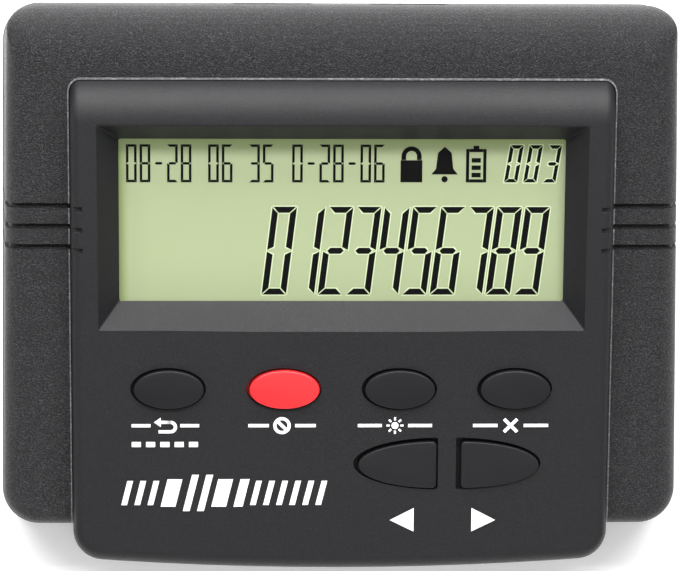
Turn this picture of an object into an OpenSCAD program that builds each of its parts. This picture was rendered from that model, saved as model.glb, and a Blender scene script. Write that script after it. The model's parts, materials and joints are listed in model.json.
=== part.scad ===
// Desk call blocker: a wedge-shaped telephone line unit with a display, four oval keys and two arrow keys.
// Millimetres. The origin is on the table under the middle of the case. +X is to the user's right,
// +Y points to the rear of the case and +Z is up. Distances u, v, w are measured on the sloping face:
// u across it, v up the slope from the middle of the case, and w out of it.

/* [Case] */
// Width across the lower case
body_w = 120; // [116:1:130]
// Depth from the bowed front to the rear
body_d = 100.8; // [98:0.2:106]
// Height of the sloping face above the table at its front edge
front_h = 19; // [18:0.5:22]
// Slope of the face
wedge = 12; // [10:0.5:14]
// Height of the joint between the upper and lower case
part_z = 12; // [11:0.5:13]
// Wall thickness of the mouldings
wall = 2; // [1.6:0.1:2.4]
// Lean of the moulded side walls
draft = 5; // [3:0.5:6]
// Distance that the tongue stands out in front of the side wings
tongue_out = 8; // [6:0.5:9]
// How far the front edge of the tongue bows out
bow = 1.8; // [1:0.1:3]

/* [Cover] */
// How far the cover's skin lies below the face panel
cover_drop = 3.9; // [3:0.1:4.5]
// Radius of the cover's rear shoulder
cover_rear_r = 10; // [8:0.5:11]
// Radius of the cover's long side edges
cover_side_r = 3; // [2.4:0.1:3.6]
// Radius of the case corners, seen from above
corner_r = 6.5; // [5:0.5:7]
// Width of each grip groove
groove_w = 0.9; // [0.6:0.1:1.2]
// Depth of each grip groove
groove_d = 0.65; // [0.4:0.05:0.8]
// Distance between grip grooves
groove_pitch = 3.64; // [3:0.02:4]

/* [Face panel] */
// Half width of the raised face panel
panel_x = 47.15; // [46:0.05:48]
// Radius of the panel's rear shoulder
panel_rear_r = 7.8; // [6:0.2:8]
// Gap of the seam round the panel
seam = 0.25; // [0.15:0.05:0.4]
// Depth of the display recess
recess_d = 4.5; // [3.5:0.1:4.6]

/* [Display] */
// Width of the part of the display that shows
window_w = 77.7; // [72:0.1:79]
// Height of the part of the display that shows
window_h = 28.75; // [26:0.05:30]
// Middle of the display, up the slope
window_v = 10.65; // [9:0.05:12]

/* [Keys] */
// Distance between the oval keys
key_pitch = 20.2; // [19:0.1:21]
// Row of oval keys, up the slope
key_v = -18.5; // [-20:0.1:-18]
// Length of an oval key hole
key_w = 13.2; // [12:0.1:14]
// Height of an oval key hole
key_h = 7.5; // [7:0.1:8]
// Row of arrow keys, up the slope
arrow_v = -32; // [-32.5:0.1:-31]
// Middle of the pair of arrow keys
arrow_u = 18.6; // [17:0.1:20]
// Length of an arrow key hole
arrow_w = 14.9; // [13:0.1:15.5]
// Height of an arrow key hole
arrow_h = 9.4; // [8.5:0.1:9.6]
// Gap between a key and its hole
key_gap = 0.35; // [0.3:0.05:0.5]
// Height of a key's crown above the face
key_proud = 1.9; // [1.2:0.1:2.4]

/* [Hidden] */
$fn = 64;
eps = 0.01;
far = 200;
edge_clear = 0.4;
side_step = 0.05;

// Case
foot_h = 1.5;
floor_t = 1.8;
floor_z = foot_h + floor_t;
rear_y = body_d / 2;
front_y = -body_d / 2;
wing_y = front_y + tongue_out;
face_z = front_h + rear_y * tan(wedge);
panel_wall = 2.2;
panel_skirt = 9.5;
panel_front_r = 1.8;
panel_side_r = 1.8;
panel_corner_r = 2.3;
panel_rear_y = 38.8;
cover_front_r = 2.5;
tongue_corner_r = 4.8;
tongue_corner_x = panel_x - tongue_corner_r;
bow_r = (pow(tongue_corner_x, 2) + bow * bow) / (2 * bow);
tongue_corner_y = front_y + bow_r - sqrt(pow(bow_r - tongue_corner_r, 2) - pow(tongue_corner_x, 2));
groove_v = 9.68;
notch_x = 45;
skin_n = [-sin(wedge), cos(wedge)];
rear_n = [cos(draft), sin(draft)];
front_n = [-cos(draft), sin(draft)];

// Display stack, as depths below the face
rim_t = 0.8;
lens_t = 0.8;
glass_t = 2;
guide_t = 1.8;
lens_w = -recess_d - rim_t - lens_t;
glass_w = lens_w - 0.1 - glass_t;
guide_w = glass_w - 0.1 - guide_t;
glass_size = [84, 35];
side_ramp = 3.65;
rear_ramp = 3.05;
front_ramp = 4.55;
window_lip = 0.2;

// Boards
board_t = 1.6;
board_x = 44.3;
board_v = [-41, 33.5];
post_u = 41.5;
post_v = [-12, -38];
jack_board_z = 10.4;
jack_board_y = [34, 48];
jack_board_x = 46;
jack_floor_z = jack_board_z + board_t;

// Keys
flange = 0.9;
flange_t = 1;
flange_w = -panel_wall - 0.15 - flange_t;
stem_r = 1.9;
mat_t = 0.8;
mat_w = guide_w;
dome_top = -7;
crown_r = 34;
oval_us = [-1.5, -0.5, 0.5, 1.5] * key_pitch;
arrow_gap = 3.16;

// Battery bay
bay_x = 26;
bay_y = [-2, 31];
bay_roof_z = 14;
bay_wall = 1.2;
door_lap = 2;
door_t = 1.6;
door_gap = 0.3;
cell_r = 5.25;
cell_l = 43.3;
nub_l = 1;
nub_r = 1.9;
cell_z = floor_z + 0.1 + cell_r;
cell_ys = [for (i = [0:2]) bay_y[0] + 0.375 + cell_r + i * (2 * cell_r + 0.375)];
plate_t = 0.4;

// Jacks
jack_xs = [-12, 12];
jack_size = [13.4, 15, 12];
jack_y = 49.2;
socket_size = [10, 12.5, 7];
socket_z = jack_floor_z + 2.3;

// Fasteners and mounts
case_screw_xy = [[53.4, -35], [53.4, 41], [41, -43.6]];
screw_r = 1.3;
pilot_r = 1.35;
pilot_h = 5;
boss_r = 3.2;
foot_xy = [[45, -31], [45, 42]];
foot_r = 4.5;
foot_sink = 0.5;
keyhole_x = 40;
keyhole_y = 8;
keyhole_r = 3.8;
keyslot_r = 2.1;
keyslot_l = 8;

// ---- Helpers ----

// Puts children on the sloping face at u, v, w
module on_face(u = 0, v = 0, w = 0) {
    translate([0, 0, face_z]) rotate([wedge, 0, 0]) translate([u, v, w]) children();
}

module both_sides() {
    children();
    mirror([1, 0, 0]) children();
}

// Flat rectangle from y0 to y1 with rounded front and rear corners
module round_rect(x, y0, y1, r0, r1) {
    translate([-x, y0 + r0]) square([2 * x, y1 - y0 - r0 - r1]);
    translate([r0 - x, y0]) square([2 * (x - r0), y1 - y0 - r1]);
    translate([r1 - x, y0 + r0]) square([2 * (x - r1), y1 - y0 - r0]);
    for (s = [-1, 1]) {
        translate([s * (x - r0), y0 + r0]) circle(r0);
        translate([s * (x - r1), y1 - r1]) circle(r1);
    }
}

module slab(size, r = 1) {
    linear_extrude(size[2]) round_rect(size[0] / 2, -size[1] / 2, size[1] / 2, r, r);
}

function ellipse(a, b, n = 72) = [for (i = [0:n - 1]) [a * cos(360 * i / n), b * sin(360 * i / n)]];

function arc(c, r, from, to, n = 6) =
    [for (i = [0:n]) let (a = from + (to - from) * i / n) c + r * [cos(a), sin(a)]];

// Centre of a circle that touches two lines from inside: each line is a normal and a distance
function corner(n1, d1, n2, d2, r) =
    let (det = n1[0] * n2[1] - n1[1] * n2[0], a = d1 - r, b = d2 - r)
    [(a * n2[1] - b * n1[1]) / det, (n1[0] * b - n2[0] * a) / det];

// Radius of an edge that lies inset below an outer one
function shrink(r, inset) = max(r - inset, 0.2);

// Point at height z on a line
function on_line(n, d, z) = [(d - n[1] * z) / n[0], z];

// Side view of a wedge body: a front wall, a sloping top and a rear wall, with rounded top edges
module wedge_section(y0, y1, drop, r0, r1, z_low, inset) {
    top_d = skin_n * [0, face_z] - drop - inset;
    front_d = front_n * [y0, part_z] - inset;
    rear_d = rear_n * [y1, part_z] - inset;
    r_front = shrink(r0, inset);
    r_rear = shrink(r1, inset);
    c0 = corner(front_n, front_d, skin_n, top_d, r_front);
    c1 = corner(rear_n, rear_d, skin_n, top_d, r_rear);
    polygon([
        on_line(front_n, front_d, z_low),
        each arc(c0, r_front, 180 - draft, 90 + wedge),
        each arc(c1, r_rear, 90 + wedge, draft, 12),
        on_line(rear_n, rear_d, z_low)
    ]);
}

// Turns a side view into a solid that runs across the case
module across(width) {
    rotate([90, 0, 90]) linear_extrude(width, center = true) children();
}

// Everything inside one leaning side wall and under the skin, with a rounded edge between them
module side_limit(x_top, w_top, r, lean, turn, inset) {
    wall_n = [cos(lean), sin(lean)];
    edge_r = shrink(r, inset);
    c = corner(wall_n, -inset, [0, 1], -inset, edge_r);
    on_face(x_top, 0, w_top) rotate([90, 0, turn]) linear_extrude(far, center = true) polygon([
        [-far, -far / 2], on_line(wall_n, -inset, -far / 2), each arc(c, edge_r, lean, 90), [-far, -inset]
    ]);
}

// A wire along a list of points
module wire(points, r, sides = 6) {
    last = len(points) - 1;
    ring = [for (i = [0:last])
        let (
            t = points[min(i + 1, last)] - points[max(i - 1, 0)],
            d = t / norm(t),
            a = cross(d, abs(d[0]) < 0.9 ? [1, 0, 0] : [0, 0, 1]),
            p = a / norm(a),
            q = cross(d, p)
        )
        for (k = [0:sides - 1]) points[i] + r * (cos(360 * k / sides) * p + sin(360 * k / sides) * q)
    ];
    polyhedron(ring, [
        [for (k = [0:sides - 1]) k],
        [for (k = [sides - 1:-1:0]) last * sides + k],
        for (i = [0:last - 1], k = [0:sides - 1])
            let (k1 = (k + 1) % sides, a = i * sides, b = a + sides)
            each [[a + k, b + k, b + k1], [a + k, b + k1, a + k1]]
    ]);
}

// ---- Case mouldings ----

module wings_outline(inset = 0) {
    r = corner_r - inset;
    round_rect(body_w / 2 - inset, wing_y + inset, rear_y - inset, r, r);
}

// The panel seen from above: straight sides, a bowed front, and corners that touch both
module panel_outline(inset = 0) {
    x = panel_x - inset;
    rear_r = panel_corner_r - inset / 2;
    touch_x = tongue_corner_x * (bow_r - inset) / (bow_r - tongue_corner_r);
    intersection() {
        round_rect(x, tongue_corner_y - rear_r, panel_rear_y + edge_clear - inset, rear_r, rear_r);
        translate([-far / 2, tongue_corner_y]) square(far);
    }
    intersection() {
        translate([-touch_x, front_y - 1]) square([2 * touch_x, tongue_corner_y + 1 - front_y + eps]);
        translate([0, front_y + bow_r]) circle(bow_r - inset, $fn = 360);
    }
    for (s = [-1, 1]) translate([s * tongue_corner_x, tongue_corner_y]) circle(tongue_corner_r - inset);
}

module case_outline(inset = 0) {
    wings_outline(inset);
    intersection() {
        panel_outline(inset);
        translate([-far / 2, -far]) square(far);
    }
}

// The cover as one solid, shrunk by inset
module cover_body(inset, z_low) {
    skin_z = face_z - cover_drop / cos(wedge);
    top_x = body_w / 2 - side_step - (skin_z - part_z) * tan(draft);
    intersection() {
        translate([0, 0, z_low]) linear_extrude(far) wings_outline(inset - edge_clear);
        across(far) wedge_section(wing_y, rear_y, cover_drop, cover_front_r, cover_rear_r, z_low, inset);
        both_limits(top_x, -cover_drop, cover_side_r, asin(sin(draft) * cos(wedge)),
            atan(tan(draft) * sin(wedge)), inset);
    }
}

module both_limits(x_top, w_top, r, lean, turn, inset) {
    intersection() {
        side_limit(x_top, w_top, r, lean, turn, inset);
        mirror([1, 0, 0]) side_limit(x_top, w_top, r, lean, turn, inset);
    }
}

// The panel as one solid, shrunk by inset
module panel_body(inset, z_low) {
    intersection() {
        translate([0, 0, z_low]) linear_extrude(far) panel_outline(inset);
        across(far)
            wedge_section(front_y - edge_clear, panel_rear_y, 0, panel_front_r, panel_rear_r, z_low, inset);
        both_limits(panel_x + 0.02, 0, panel_side_r, 0, 0, inset);
    }
}

module groove_cut() {
    difference() {
        both_sides() for (k = [-1:1])
            on_face(notch_x, groove_v + k * groove_pitch - groove_w / 2, -far / 2) cube([far, groove_w, far]);
        cover_body(groove_d, 0);
    }
}

module notch_cut() {
    both_sides() for (k = [-1:1])
        on_face(notch_x, groove_v + k * groove_pitch - groove_w / 2, -groove_d) cube([far, groove_w, far]);
}

module case_bosses(r, z0, z1, places = case_screw_xy) {
    both_sides() for (p = places) translate([p[0], p[1], z0]) cylinder(h = z1 - z0, r = r);
}

module jack_mouths() {
    for (x = jack_xs) translate([x - jack_size[0] / 2 - 0.2, rear_y - 8, part_z - 1])
        cube([jack_size[0] + 0.4, far, jack_size[2] + 1.3]);
}

module outer_cover() {
    places = [case_screw_xy[0], case_screw_xy[1]];
    color([0.15, 0.15, 0.16]) difference() {
        union() {
            difference() {
                cover_body(0, part_z);
                cover_body(wall, part_z - 1);
            }
            intersection() {
                cover_body(wall / 2, part_z);
                case_bosses(boss_r, part_z, far, places);
            }
        }
        panel_body(-seam, part_z - 1);
        groove_cut();
        jack_mouths();
        case_bosses(pilot_r, 0, part_z + pilot_h, places);
    }
}

// Wedge-sided pit that narrows from the face down to the display window
module recess_shape(grow, depth) {
    x = window_w / 2 + grow;
    y = window_h / 2 + grow;
    top = depth + recess_d;
    spread = top / recess_d;
    on_face(0, window_v, -depth) intersection() {
        rotate([90, 0, 0]) linear_extrude(far, center = true)
            polygon([[-x, 0], [x, 0], [x + side_ramp * spread, top], [-x - side_ramp * spread, top]]);
        rotate([90, 0, 90]) linear_extrude(far, center = true)
            polygon([[-y, 0], [y, 0], [y + rear_ramp * spread, top], [-y - front_ramp * spread, top]]);
    }
}

module oval_outline(grow = 0) {
    polygon(ellipse(key_w / 2 + grow, key_h / 2 + grow));
}

// Half an ellipse with its straight edge on the v axis and its tip on -u
module arrow_outline(grow = 0) {
    translate([grow, 0]) intersection() {
        polygon(ellipse(arrow_w + 2 * grow, arrow_h / 2 + grow));
        translate([-arrow_w - 2 * grow, 0])
            rotate(-90) round_rect(arrow_h / 2 + grow, 0, arrow_w + 2 * grow, 0.5, 1.5 + grow);
    }
}

// Middle of an arrow key's stem
function arrow_stem_u(side) = arrow_u + side * (arrow_gap / 2 + arrow_w * 0.38);

module place_arrow(side) {
    translate([arrow_u, arrow_v]) mirror([side > 0 ? 1 : 0, 0]) translate([-arrow_gap / 2, 0]) children();
}

module key_holes() {
    on_face(w = -panel_wall - 1) linear_extrude(far) {
        for (u = oval_us) translate([u, key_v]) oval_outline();
        for (s = [-1, 1]) place_arrow(s) arrow_outline();
    }
}

module front_panel() {
    color([0.17, 0.17, 0.18]) difference() {
        union() {
            difference() {
                panel_body(0, part_z);
                difference() {
                    panel_body(panel_wall, part_z - 1);
                    recess_shape(1.6, recess_d + rim_t);
                }
                on_face(-far / 2, -far / 2, -far) cube([far, far, far - panel_skirt]);
            }
            intersection() {
                panel_body(panel_wall / 2, part_z);
                union() {
                    case_bosses(boss_r, part_z, far, [case_screw_xy[2]]);
                    both_sides() for (v = post_v)
                        on_face(post_u, v, guide_w) cylinder(h = -guide_w, r = 2.4);
                }
            }
        }
        recess_shape(0, recess_d);
        on_face(window_lip - window_w / 2, window_v - window_h / 2 + window_lip, -far / 2)
            cube([window_w - 2 * window_lip, window_h - 2 * window_lip, far / 2]);
        key_holes();
        notch_cut();
        case_bosses(pilot_r, 0, part_z + pilot_h, [case_screw_xy[2]]);
        both_sides() for (v = post_v) on_face(post_u, v, guide_w - 1) cylinder(h = 6, r = 0.95);
    }
}

module keyhole_cut() {
    both_sides() translate([keyhole_x, keyhole_y, 0]) linear_extrude(floor_z + 1) {
        circle(keyhole_r);
        translate([-keyslot_r, 0]) square([2 * keyslot_r, keyslot_l]);
        translate([0, keyslot_l]) circle(keyslot_r);
    }
}

module bay_box(grow, z0, z1) {
    translate([-bay_x - grow, bay_y[0] - grow, z0])
        cube([2 * (bay_x + grow), bay_y[1] - bay_y[0] + 2 * grow, z1 - z0]);
}

module bottom_case() {
    color([0.14, 0.14, 0.15]) difference() {
        union() {
            difference() {
                translate([0, 0, foot_h]) linear_extrude(part_z - foot_h) case_outline();
                translate([0, 0, floor_z]) linear_extrude(part_z) case_outline(wall);
            }
            bay_box(bay_wall, foot_h + eps, bay_roof_z + bay_wall);
            bay_box(door_lap + 2, foot_h + eps, floor_z + 1.8);
            case_bosses(boss_r + 0.2, foot_h + eps, part_z - 0.1);
            both_sides() for (y = [36.4, 45.6])
                translate([42, y, foot_h + eps]) cylinder(h = jack_board_z - foot_h - eps, r = 1.8);
        }
        bay_box(0, 0, bay_roof_z);
        bay_box(door_lap, 0, foot_h + door_t + 0.1);
        door_catch_cut();
        case_bosses(screw_r + 0.15, 0, part_z + 1);
        case_bosses(2.7, 0, floor_z + 1.2);
        keyhole_cut();
        foot_places() cylinder(h = foot_h + foot_sink, r = foot_r + 0.1);
        tab_slots();
    }
}

module foot_places() {
    both_sides() for (p = foot_xy) translate([p[0], p[1], 0]) children();
}

// Slots in the bay roof for the solder tabs of the two end plates
module tab_slots() {
    for (s = [-1, 1]) translate([s * (bay_x - plate_t / 2) - 0.5, cell_ys[0] - 1.2, bay_roof_z - 1])
        cube([1, 2.4, bay_wall + 2]);
}

module door_catch_cut() {
    translate([-6, bay_y[0] - door_lap - 3, 0]) cube([12, 4, foot_h + 0.9]);
}

module battery_door() {
    color([0.14, 0.14, 0.15]) difference() {
        union() {
            bay_box(door_lap - door_gap, foot_h, foot_h + door_t);
            translate([-5.6, bay_y[0] - door_lap - 2.6, foot_h]) cube([11.2, 3, 0.7]);
        }
        for (i = [0:4]) translate([-9, bay_y[1] - 6 - 2.4 * i, 0]) cube([18, 0.9, foot_h + 0.5]);
        for (s = [-1, 1]) translate([s * 7 - 0.4, bay_y[0] - door_lap - 1, 0]) cube([0.8, 8, far]);
    }
}

// ---- Display ----

module lcd_window() {
    color([0.85, 0.9, 0.85, 0.35]) on_face(0, window_v, lens_w) slab([82, 33, lens_t], 1.5);
}

module lcd_glass() {
    color([0.73, 0.8, 0.6]) on_face(0, window_v, glass_w) {
        slab([glass_size[0], glass_size[1], glass_t / 2 - 0.05], 0.3);
        translate([0, 1.2, glass_t / 2 - 0.05])
            slab([glass_size[0], glass_size[1] - 2.4, glass_t / 2 + 0.05], 0.3);
    }
}

module lcd_frame() {
    color([0.9, 0.9, 0.88]) on_face(0, window_v, guide_w) difference() {
        slab([glass_size[0] + 4.4, glass_size[1] + 4, -guide_w + lens_w], 1);
        translate([0, 0, -1]) slab([glass_size[0] + 0.4, glass_size[1] + 0.4, far], 0.4);
    }
}

module backlight_guide() {
    color([0.95, 0.97, 0.9]) on_face(0, window_v + 1.4, guide_w) slab([77, 31, guide_t], 0.5);
}

module backlight_leds() {
    color([0.95, 0.95, 0.8]) both_sides() for (v = [-9, 0, 9])
        on_face(38.8, window_v + 1.4 + v - 1.4, guide_w) cube([1.2, 2.8, 1.4]);
}

module zebra_strip() {
    color([0.85, 0.5, 0.55]) on_face(-39, window_v - glass_size[1] / 2 + 0.2, guide_w)
        cube([78, 1.4, guide_t + 0.1]);
}

// ---- Boards ----

module main_board() {
    color([0.1, 0.35, 0.2]) difference() {
        on_face(-board_x, board_v[0], guide_w - board_t)
            cube([2 * board_x, board_v[1] - board_v[0], board_t]);
        both_sides() for (v = post_v) on_face(post_u, v, guide_w - board_t - 1) cylinder(h = far, r = 1.3);
    }
}

module keypad_mat() {
    color([0.75, 0.75, 0.72]) {
        on_face(0, (key_v + arrow_v) / 2, mat_w) slab([76, 27, mat_t], 2);
        under_keys() cylinder(h = dome_top - mat_w, r1 = 3.4, r2 = 2.1);
    }
}

// Places its child under the middle of every key, on the main board
module under_keys() {
    for (u = oval_us) on_face(u, key_v, mat_w) children();
    for (side = [-1, 1]) on_face(arrow_stem_u(side), arrow_v, mat_w) children();
}

module processor_chip() {
    on_face(-16, -25, guide_w - board_t) mirror([0, 0, 1]) {
        color([0.08, 0.08, 0.08]) translate([0, 0, 0.2]) slab([14, 14, 1.6], 0.4);
        color([0.8, 0.8, 0.8]) for (turn = [0:90:270], i = [-5:5])
            rotate(turn) translate([6.9, i * 1.1 - 0.2, 0]) cube([1.6, 0.4, 0.4]);
    }
}

module clock_crystal() {
    color([0.8, 0.8, 0.82]) on_face(6, -23, guide_w - board_t) mirror([0, 0, 1]) slab([11, 4.6, 3.4], 2.2);
}

module jack_board() {
    color([0.1, 0.35, 0.2]) translate([-jack_board_x, jack_board_y[0], jack_board_z])
        cube([2 * jack_board_x, jack_board_y[1] - jack_board_y[0], board_t]);
}

module jack(x) {
    color([0.12, 0.12, 0.13]) difference() {
        translate([x - jack_size[0] / 2, jack_y - jack_size[1], jack_floor_z]) cube(jack_size);
        translate([x - socket_size[0] / 2, jack_y - socket_size[1], socket_z])
            cube([socket_size[0], far, socket_size[2]]);
        translate([x - 3.2, jack_y - 9, socket_z - 1.6]) cube([6.4, far, 2]);
        translate([x - 1.9, jack_y - 9, socket_z + socket_size[2] - 0.6]) cube([3.8, 6, 1.6]);
    }
}

module line_jack() {
    jack(jack_xs[0]);
}

module phone_jack() {
    jack(jack_xs[1]);
}

module jack_contacts() {
    color([0.85, 0.7, 0.3]) for (x = jack_xs, i = [-1.5:1:1.5])
        translate([x + i * 1.02 - 0.22, jack_y - 10.5, socket_z + socket_size[2] - 0.5])
            rotate([-8, 0, 0]) cube([0.44, 7, 0.4]);
}

module line_transformer() {
    translate([-34, 41, jack_floor_z]) {
        color([0.1, 0.1, 0.1]) translate([-7, -6, 0]) cube([14, 12, 1.6]);
        color([0.35, 0.35, 0.36]) difference() {
            translate([-7, -5, 1.6]) cube([14, 10, 10]);
            translate([-4.5, -6, 3.6]) cube([9, 12, 6]);
        }
        color([0.85, 0.65, 0.2]) translate([-4.3, -5.6, 3.8]) cube([8.6, 11.2, 5.6]);
    }
}

module line_relay() {
    color([0.9, 0.5, 0.15]) translate([33, 42.2, jack_floor_z]) slab([15, 9.6, 10], 0.6);
}

module capacitors() {
    color([0.15, 0.2, 0.4]) for (y = [37.6, 44.2]) translate([0, y, jack_floor_z]) cylinder(h = 9, r = 2.5);
}

// A flat cable that rises from the jack board to the back of the main board
module ribbon_cable() {
    foot_p = [35.2, jack_floor_z];
    head_p = [29, face_z + (guide_w - board_t) / cos(wedge) + 29 * tan(wedge) - 0.1];
    lift = [0, 5];
    half_t = [0.3, 0];
    route = [for (i = [0:12]) let (t = i / 12)
        pow(1 - t, 3) * foot_p + 3 * pow(1 - t, 2) * t * (foot_p + lift)
            + 3 * (1 - t) * t * t * (head_p - lift) + pow(t, 3) * head_p];
    color([0.7, 0.7, 0.7]) translate([31, 0, 0]) across(14)
        polygon([for (p = route) p + half_t, for (i = [12:-1:0]) route[i] - half_t]);
}

// ---- Keys ----

// A crowned cap with a retaining flange behind the panel and a stem down to the mat
module key(u, v) {
    on_face() {
        intersection() {
            translate([0, 0, flange_w]) linear_extrude(far) children(0);
            translate([u, v, key_proud - crown_r]) sphere(crown_r, $fn = 128);
        }
        translate([0, 0, flange_w]) linear_extrude(flange_t) children(1);
        translate([u, v, dome_top + 0.05]) cylinder(h = flange_w - dome_top, r = stem_r);
    }
}

module oval_key(i) {
    key(oval_us[i], key_v) {
        translate([oval_us[i], key_v]) oval_outline(-key_gap);
        translate([oval_us[i], key_v]) oval_outline(flange);
    }
}

module arrow_key(side) {
    key(arrow_stem_u(side), arrow_v) {
        place_arrow(side) arrow_outline(-key_gap);
        place_arrow(side) arrow_outline(flange);
    }
}

module back_key() {
    color([0.13, 0.13, 0.14]) oval_key(0);
}

module block_key() {
    color([0.93, 0.2, 0.2]) oval_key(1);
}

module bright_key() {
    color([0.13, 0.13, 0.14]) oval_key(2);
}

module delete_key() {
    color([0.13, 0.13, 0.14]) oval_key(3);
}

module left_key() {
    color([0.13, 0.13, 0.14]) arrow_key(-1);
}

module right_key() {
    color([0.13, 0.13, 0.14]) arrow_key(1);
}

// ---- Power ----

// A cell whose positive end points along +X or, turned, along -X
module battery_cell(row, turned) {
    body_x = bay_x - plate_t - nub_l - cell_l;
    translate([0, cell_ys[row], cell_z]) mirror([turned ? 1 : 0, 0, 0]) rotate([0, 90, 0]) {
        color([0.25, 0.25, 0.28]) translate([0, 0, body_x]) cylinder(h = cell_l, r = cell_r);
        color([0.85, 0.85, 0.85]) translate([0, 0, body_x + cell_l - eps]) cylinder(h = nub_l, r = nub_r);
    }
}

module battery_cell_front() {
    battery_cell(0, false);
}

module battery_cell_middle() {
    battery_cell(1, true);
}

module battery_cell_rear() {
    battery_cell(2, false);
}

module battery_springs() {
    wire_r = 0.35;
    x0 = -bay_x + plate_t + wire_r;
    x1 = bay_x - plate_t - nub_l - cell_l - wire_r - 0.05;
    turns = 3.5;
    steps = 42;
    coil = [for (i = [0:steps]) let (t = i / steps, a = 360 * turns * t, r = 4 - 1.3 * t)
        [x0 + (x1 - x0) * t, r * cos(a), r * sin(a)]];
    color([0.8, 0.8, 0.82]) for (row = [0:2])
        translate([0, cell_ys[row], cell_z]) mirror([row == 1 ? 1 : 0, 0, 0]) wire(coil, wire_r);
}

module battery_plates() {
    z0 = floor_z + 0.6;
    color([0.8, 0.8, 0.8]) {
        for (s = [-1, 1], row = [0:2])
            translate([s * (bay_x - plate_t / 2) - plate_t / 2, cell_ys[row] - 4.4, z0])
                cube([plate_t, 8.8, 9.4]);
        for (s = [-1, 1]) translate([s * (bay_x - plate_t / 2) - plate_t / 2, cell_ys[0] - 1, z0 + 8])
            cube([plate_t, 2, 5]);
        translate([bay_x - plate_t, cell_ys[0], z0 + 3]) cube([plate_t, cell_ys[1] - cell_ys[0], 2]);
        translate([-bay_x, cell_ys[1], z0 + 3]) cube([plate_t, cell_ys[2] - cell_ys[1], 2]);
    }
}

module battery_leads() {
    side_x = bay_x - plate_t / 2;
    color([0.8, 0.1, 0.1]) both_sides() wire([
        [side_x + 0.9, 3.6, 16.4], [side_x + 2.6, 3.8, 16], [side_x + 4.6, 4.4, 16.2],
        [side_x + 6, 5.2, 17], [side_x + 6.6, 5.8, 18], [side_x + 6.7, 6, 18.8]
    ], 0.5, 8);
}

// ---- Fasteners and feet ----

module screw(head_r, head_h, shaft_r, length) {
    difference() {
        union() {
            cylinder(h = head_h, r = head_r);
            cylinder(h = head_h + length, r = shaft_r);
        }
        for (turn = [0, 90]) rotate(turn)
            translate([-head_r * 0.6, -0.25, -1]) cube([head_r * 1.2, 0.5, 1.6]);
    }
}

module case_screws() {
    color([0.55, 0.55, 0.57]) both_sides() for (p = case_screw_xy)
        translate([p[0], p[1], floor_z - 0.45]) screw(2.4, 1.6, screw_r, part_z + 3 - floor_z);
}

module board_screws() {
    color([0.75, 0.75, 0.77]) both_sides() for (v = post_v)
        on_face(post_u, v, guide_w - board_t - 1.4) screw(1.9, 1.4, 0.9, board_t + 4);
}

module rubber_feet() {
    color([0.1, 0.1, 0.1]) foot_places() cylinder(h = foot_h + foot_sink, r = foot_r);
}

outer_cover();
front_panel();
bottom_case();
battery_door();
lcd_window();
lcd_glass();
lcd_frame();
backlight_guide();
backlight_leds();
zebra_strip();
main_board();
keypad_mat();
back_key();
block_key();
bright_key();
delete_key();
left_key();
right_key();
processor_chip();
clock_crystal();
jack_board();
line_jack();
phone_jack();
jack_contacts();
line_transformer();
line_relay();
capacitors();
ribbon_cable();
battery_cell_front();
battery_cell_middle();
battery_cell_rear();
battery_springs();
battery_plates();
battery_leads();
case_screws();
board_screws();
rubber_feet();
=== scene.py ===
"""Desk call blocker: the visual model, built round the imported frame.

The moulded cover, the face panel and the keys are new meshes, worked in millimetres and handed over
in metres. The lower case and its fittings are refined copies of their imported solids.
"""

import json
import logging
import math
from collections.abc import Callable, Iterable
from dataclasses import dataclass, field
from enum import Enum

import bmesh
import bpy
from bmesh.types import BMEdge, BMesh, BMFace, BMVert
from bpy.types import ID, Material, Mesh, Node, NodeSocket, NodeTree, Object
from mathutils import Euler, Matrix, Vector

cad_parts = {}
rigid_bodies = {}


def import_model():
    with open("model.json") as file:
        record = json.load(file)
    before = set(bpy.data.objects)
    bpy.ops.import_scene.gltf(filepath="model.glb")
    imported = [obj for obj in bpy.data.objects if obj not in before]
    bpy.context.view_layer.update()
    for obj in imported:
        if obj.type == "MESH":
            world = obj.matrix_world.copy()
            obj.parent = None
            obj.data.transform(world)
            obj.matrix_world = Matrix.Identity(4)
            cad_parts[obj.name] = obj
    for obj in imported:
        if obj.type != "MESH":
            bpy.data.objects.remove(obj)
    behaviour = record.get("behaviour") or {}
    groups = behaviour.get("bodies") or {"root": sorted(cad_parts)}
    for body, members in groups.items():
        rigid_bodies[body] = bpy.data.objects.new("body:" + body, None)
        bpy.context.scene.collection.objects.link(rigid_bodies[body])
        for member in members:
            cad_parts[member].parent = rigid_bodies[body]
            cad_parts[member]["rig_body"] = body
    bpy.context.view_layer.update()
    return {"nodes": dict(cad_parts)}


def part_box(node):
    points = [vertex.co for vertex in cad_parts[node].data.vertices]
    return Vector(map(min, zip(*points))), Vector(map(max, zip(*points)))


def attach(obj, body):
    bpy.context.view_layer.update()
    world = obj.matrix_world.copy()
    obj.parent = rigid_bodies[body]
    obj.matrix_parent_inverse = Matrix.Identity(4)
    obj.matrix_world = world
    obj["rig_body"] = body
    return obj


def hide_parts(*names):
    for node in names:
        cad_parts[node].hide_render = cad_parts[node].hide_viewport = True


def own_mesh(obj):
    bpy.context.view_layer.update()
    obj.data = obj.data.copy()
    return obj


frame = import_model()

LOG = logging.getLogger("call_blocker")
MM = 0.001
SAME = 1e-4  # Points nearer than this, in millimetres, are one.
FAR = 80.0  # Further than any point of the object from its middle.
LENS_DEPTH = 5.7  # Middle of the lens below the face.
OVAL_V, ARROW_V = -18.5, -32.0  # Places of the two rows of keys, up the face.
ARROW_U, ARROW_HALF_GAP = 18.6, 1.58  # Middle of the pair of arrows, and half the bar between them.
HOUSING = "housing"


# ---------------------------------------------------------------- mesh tools


def tan(degrees: float) -> float:
    """Tangent of an angle in degrees."""
    return math.tan(math.radians(degrees))


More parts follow.
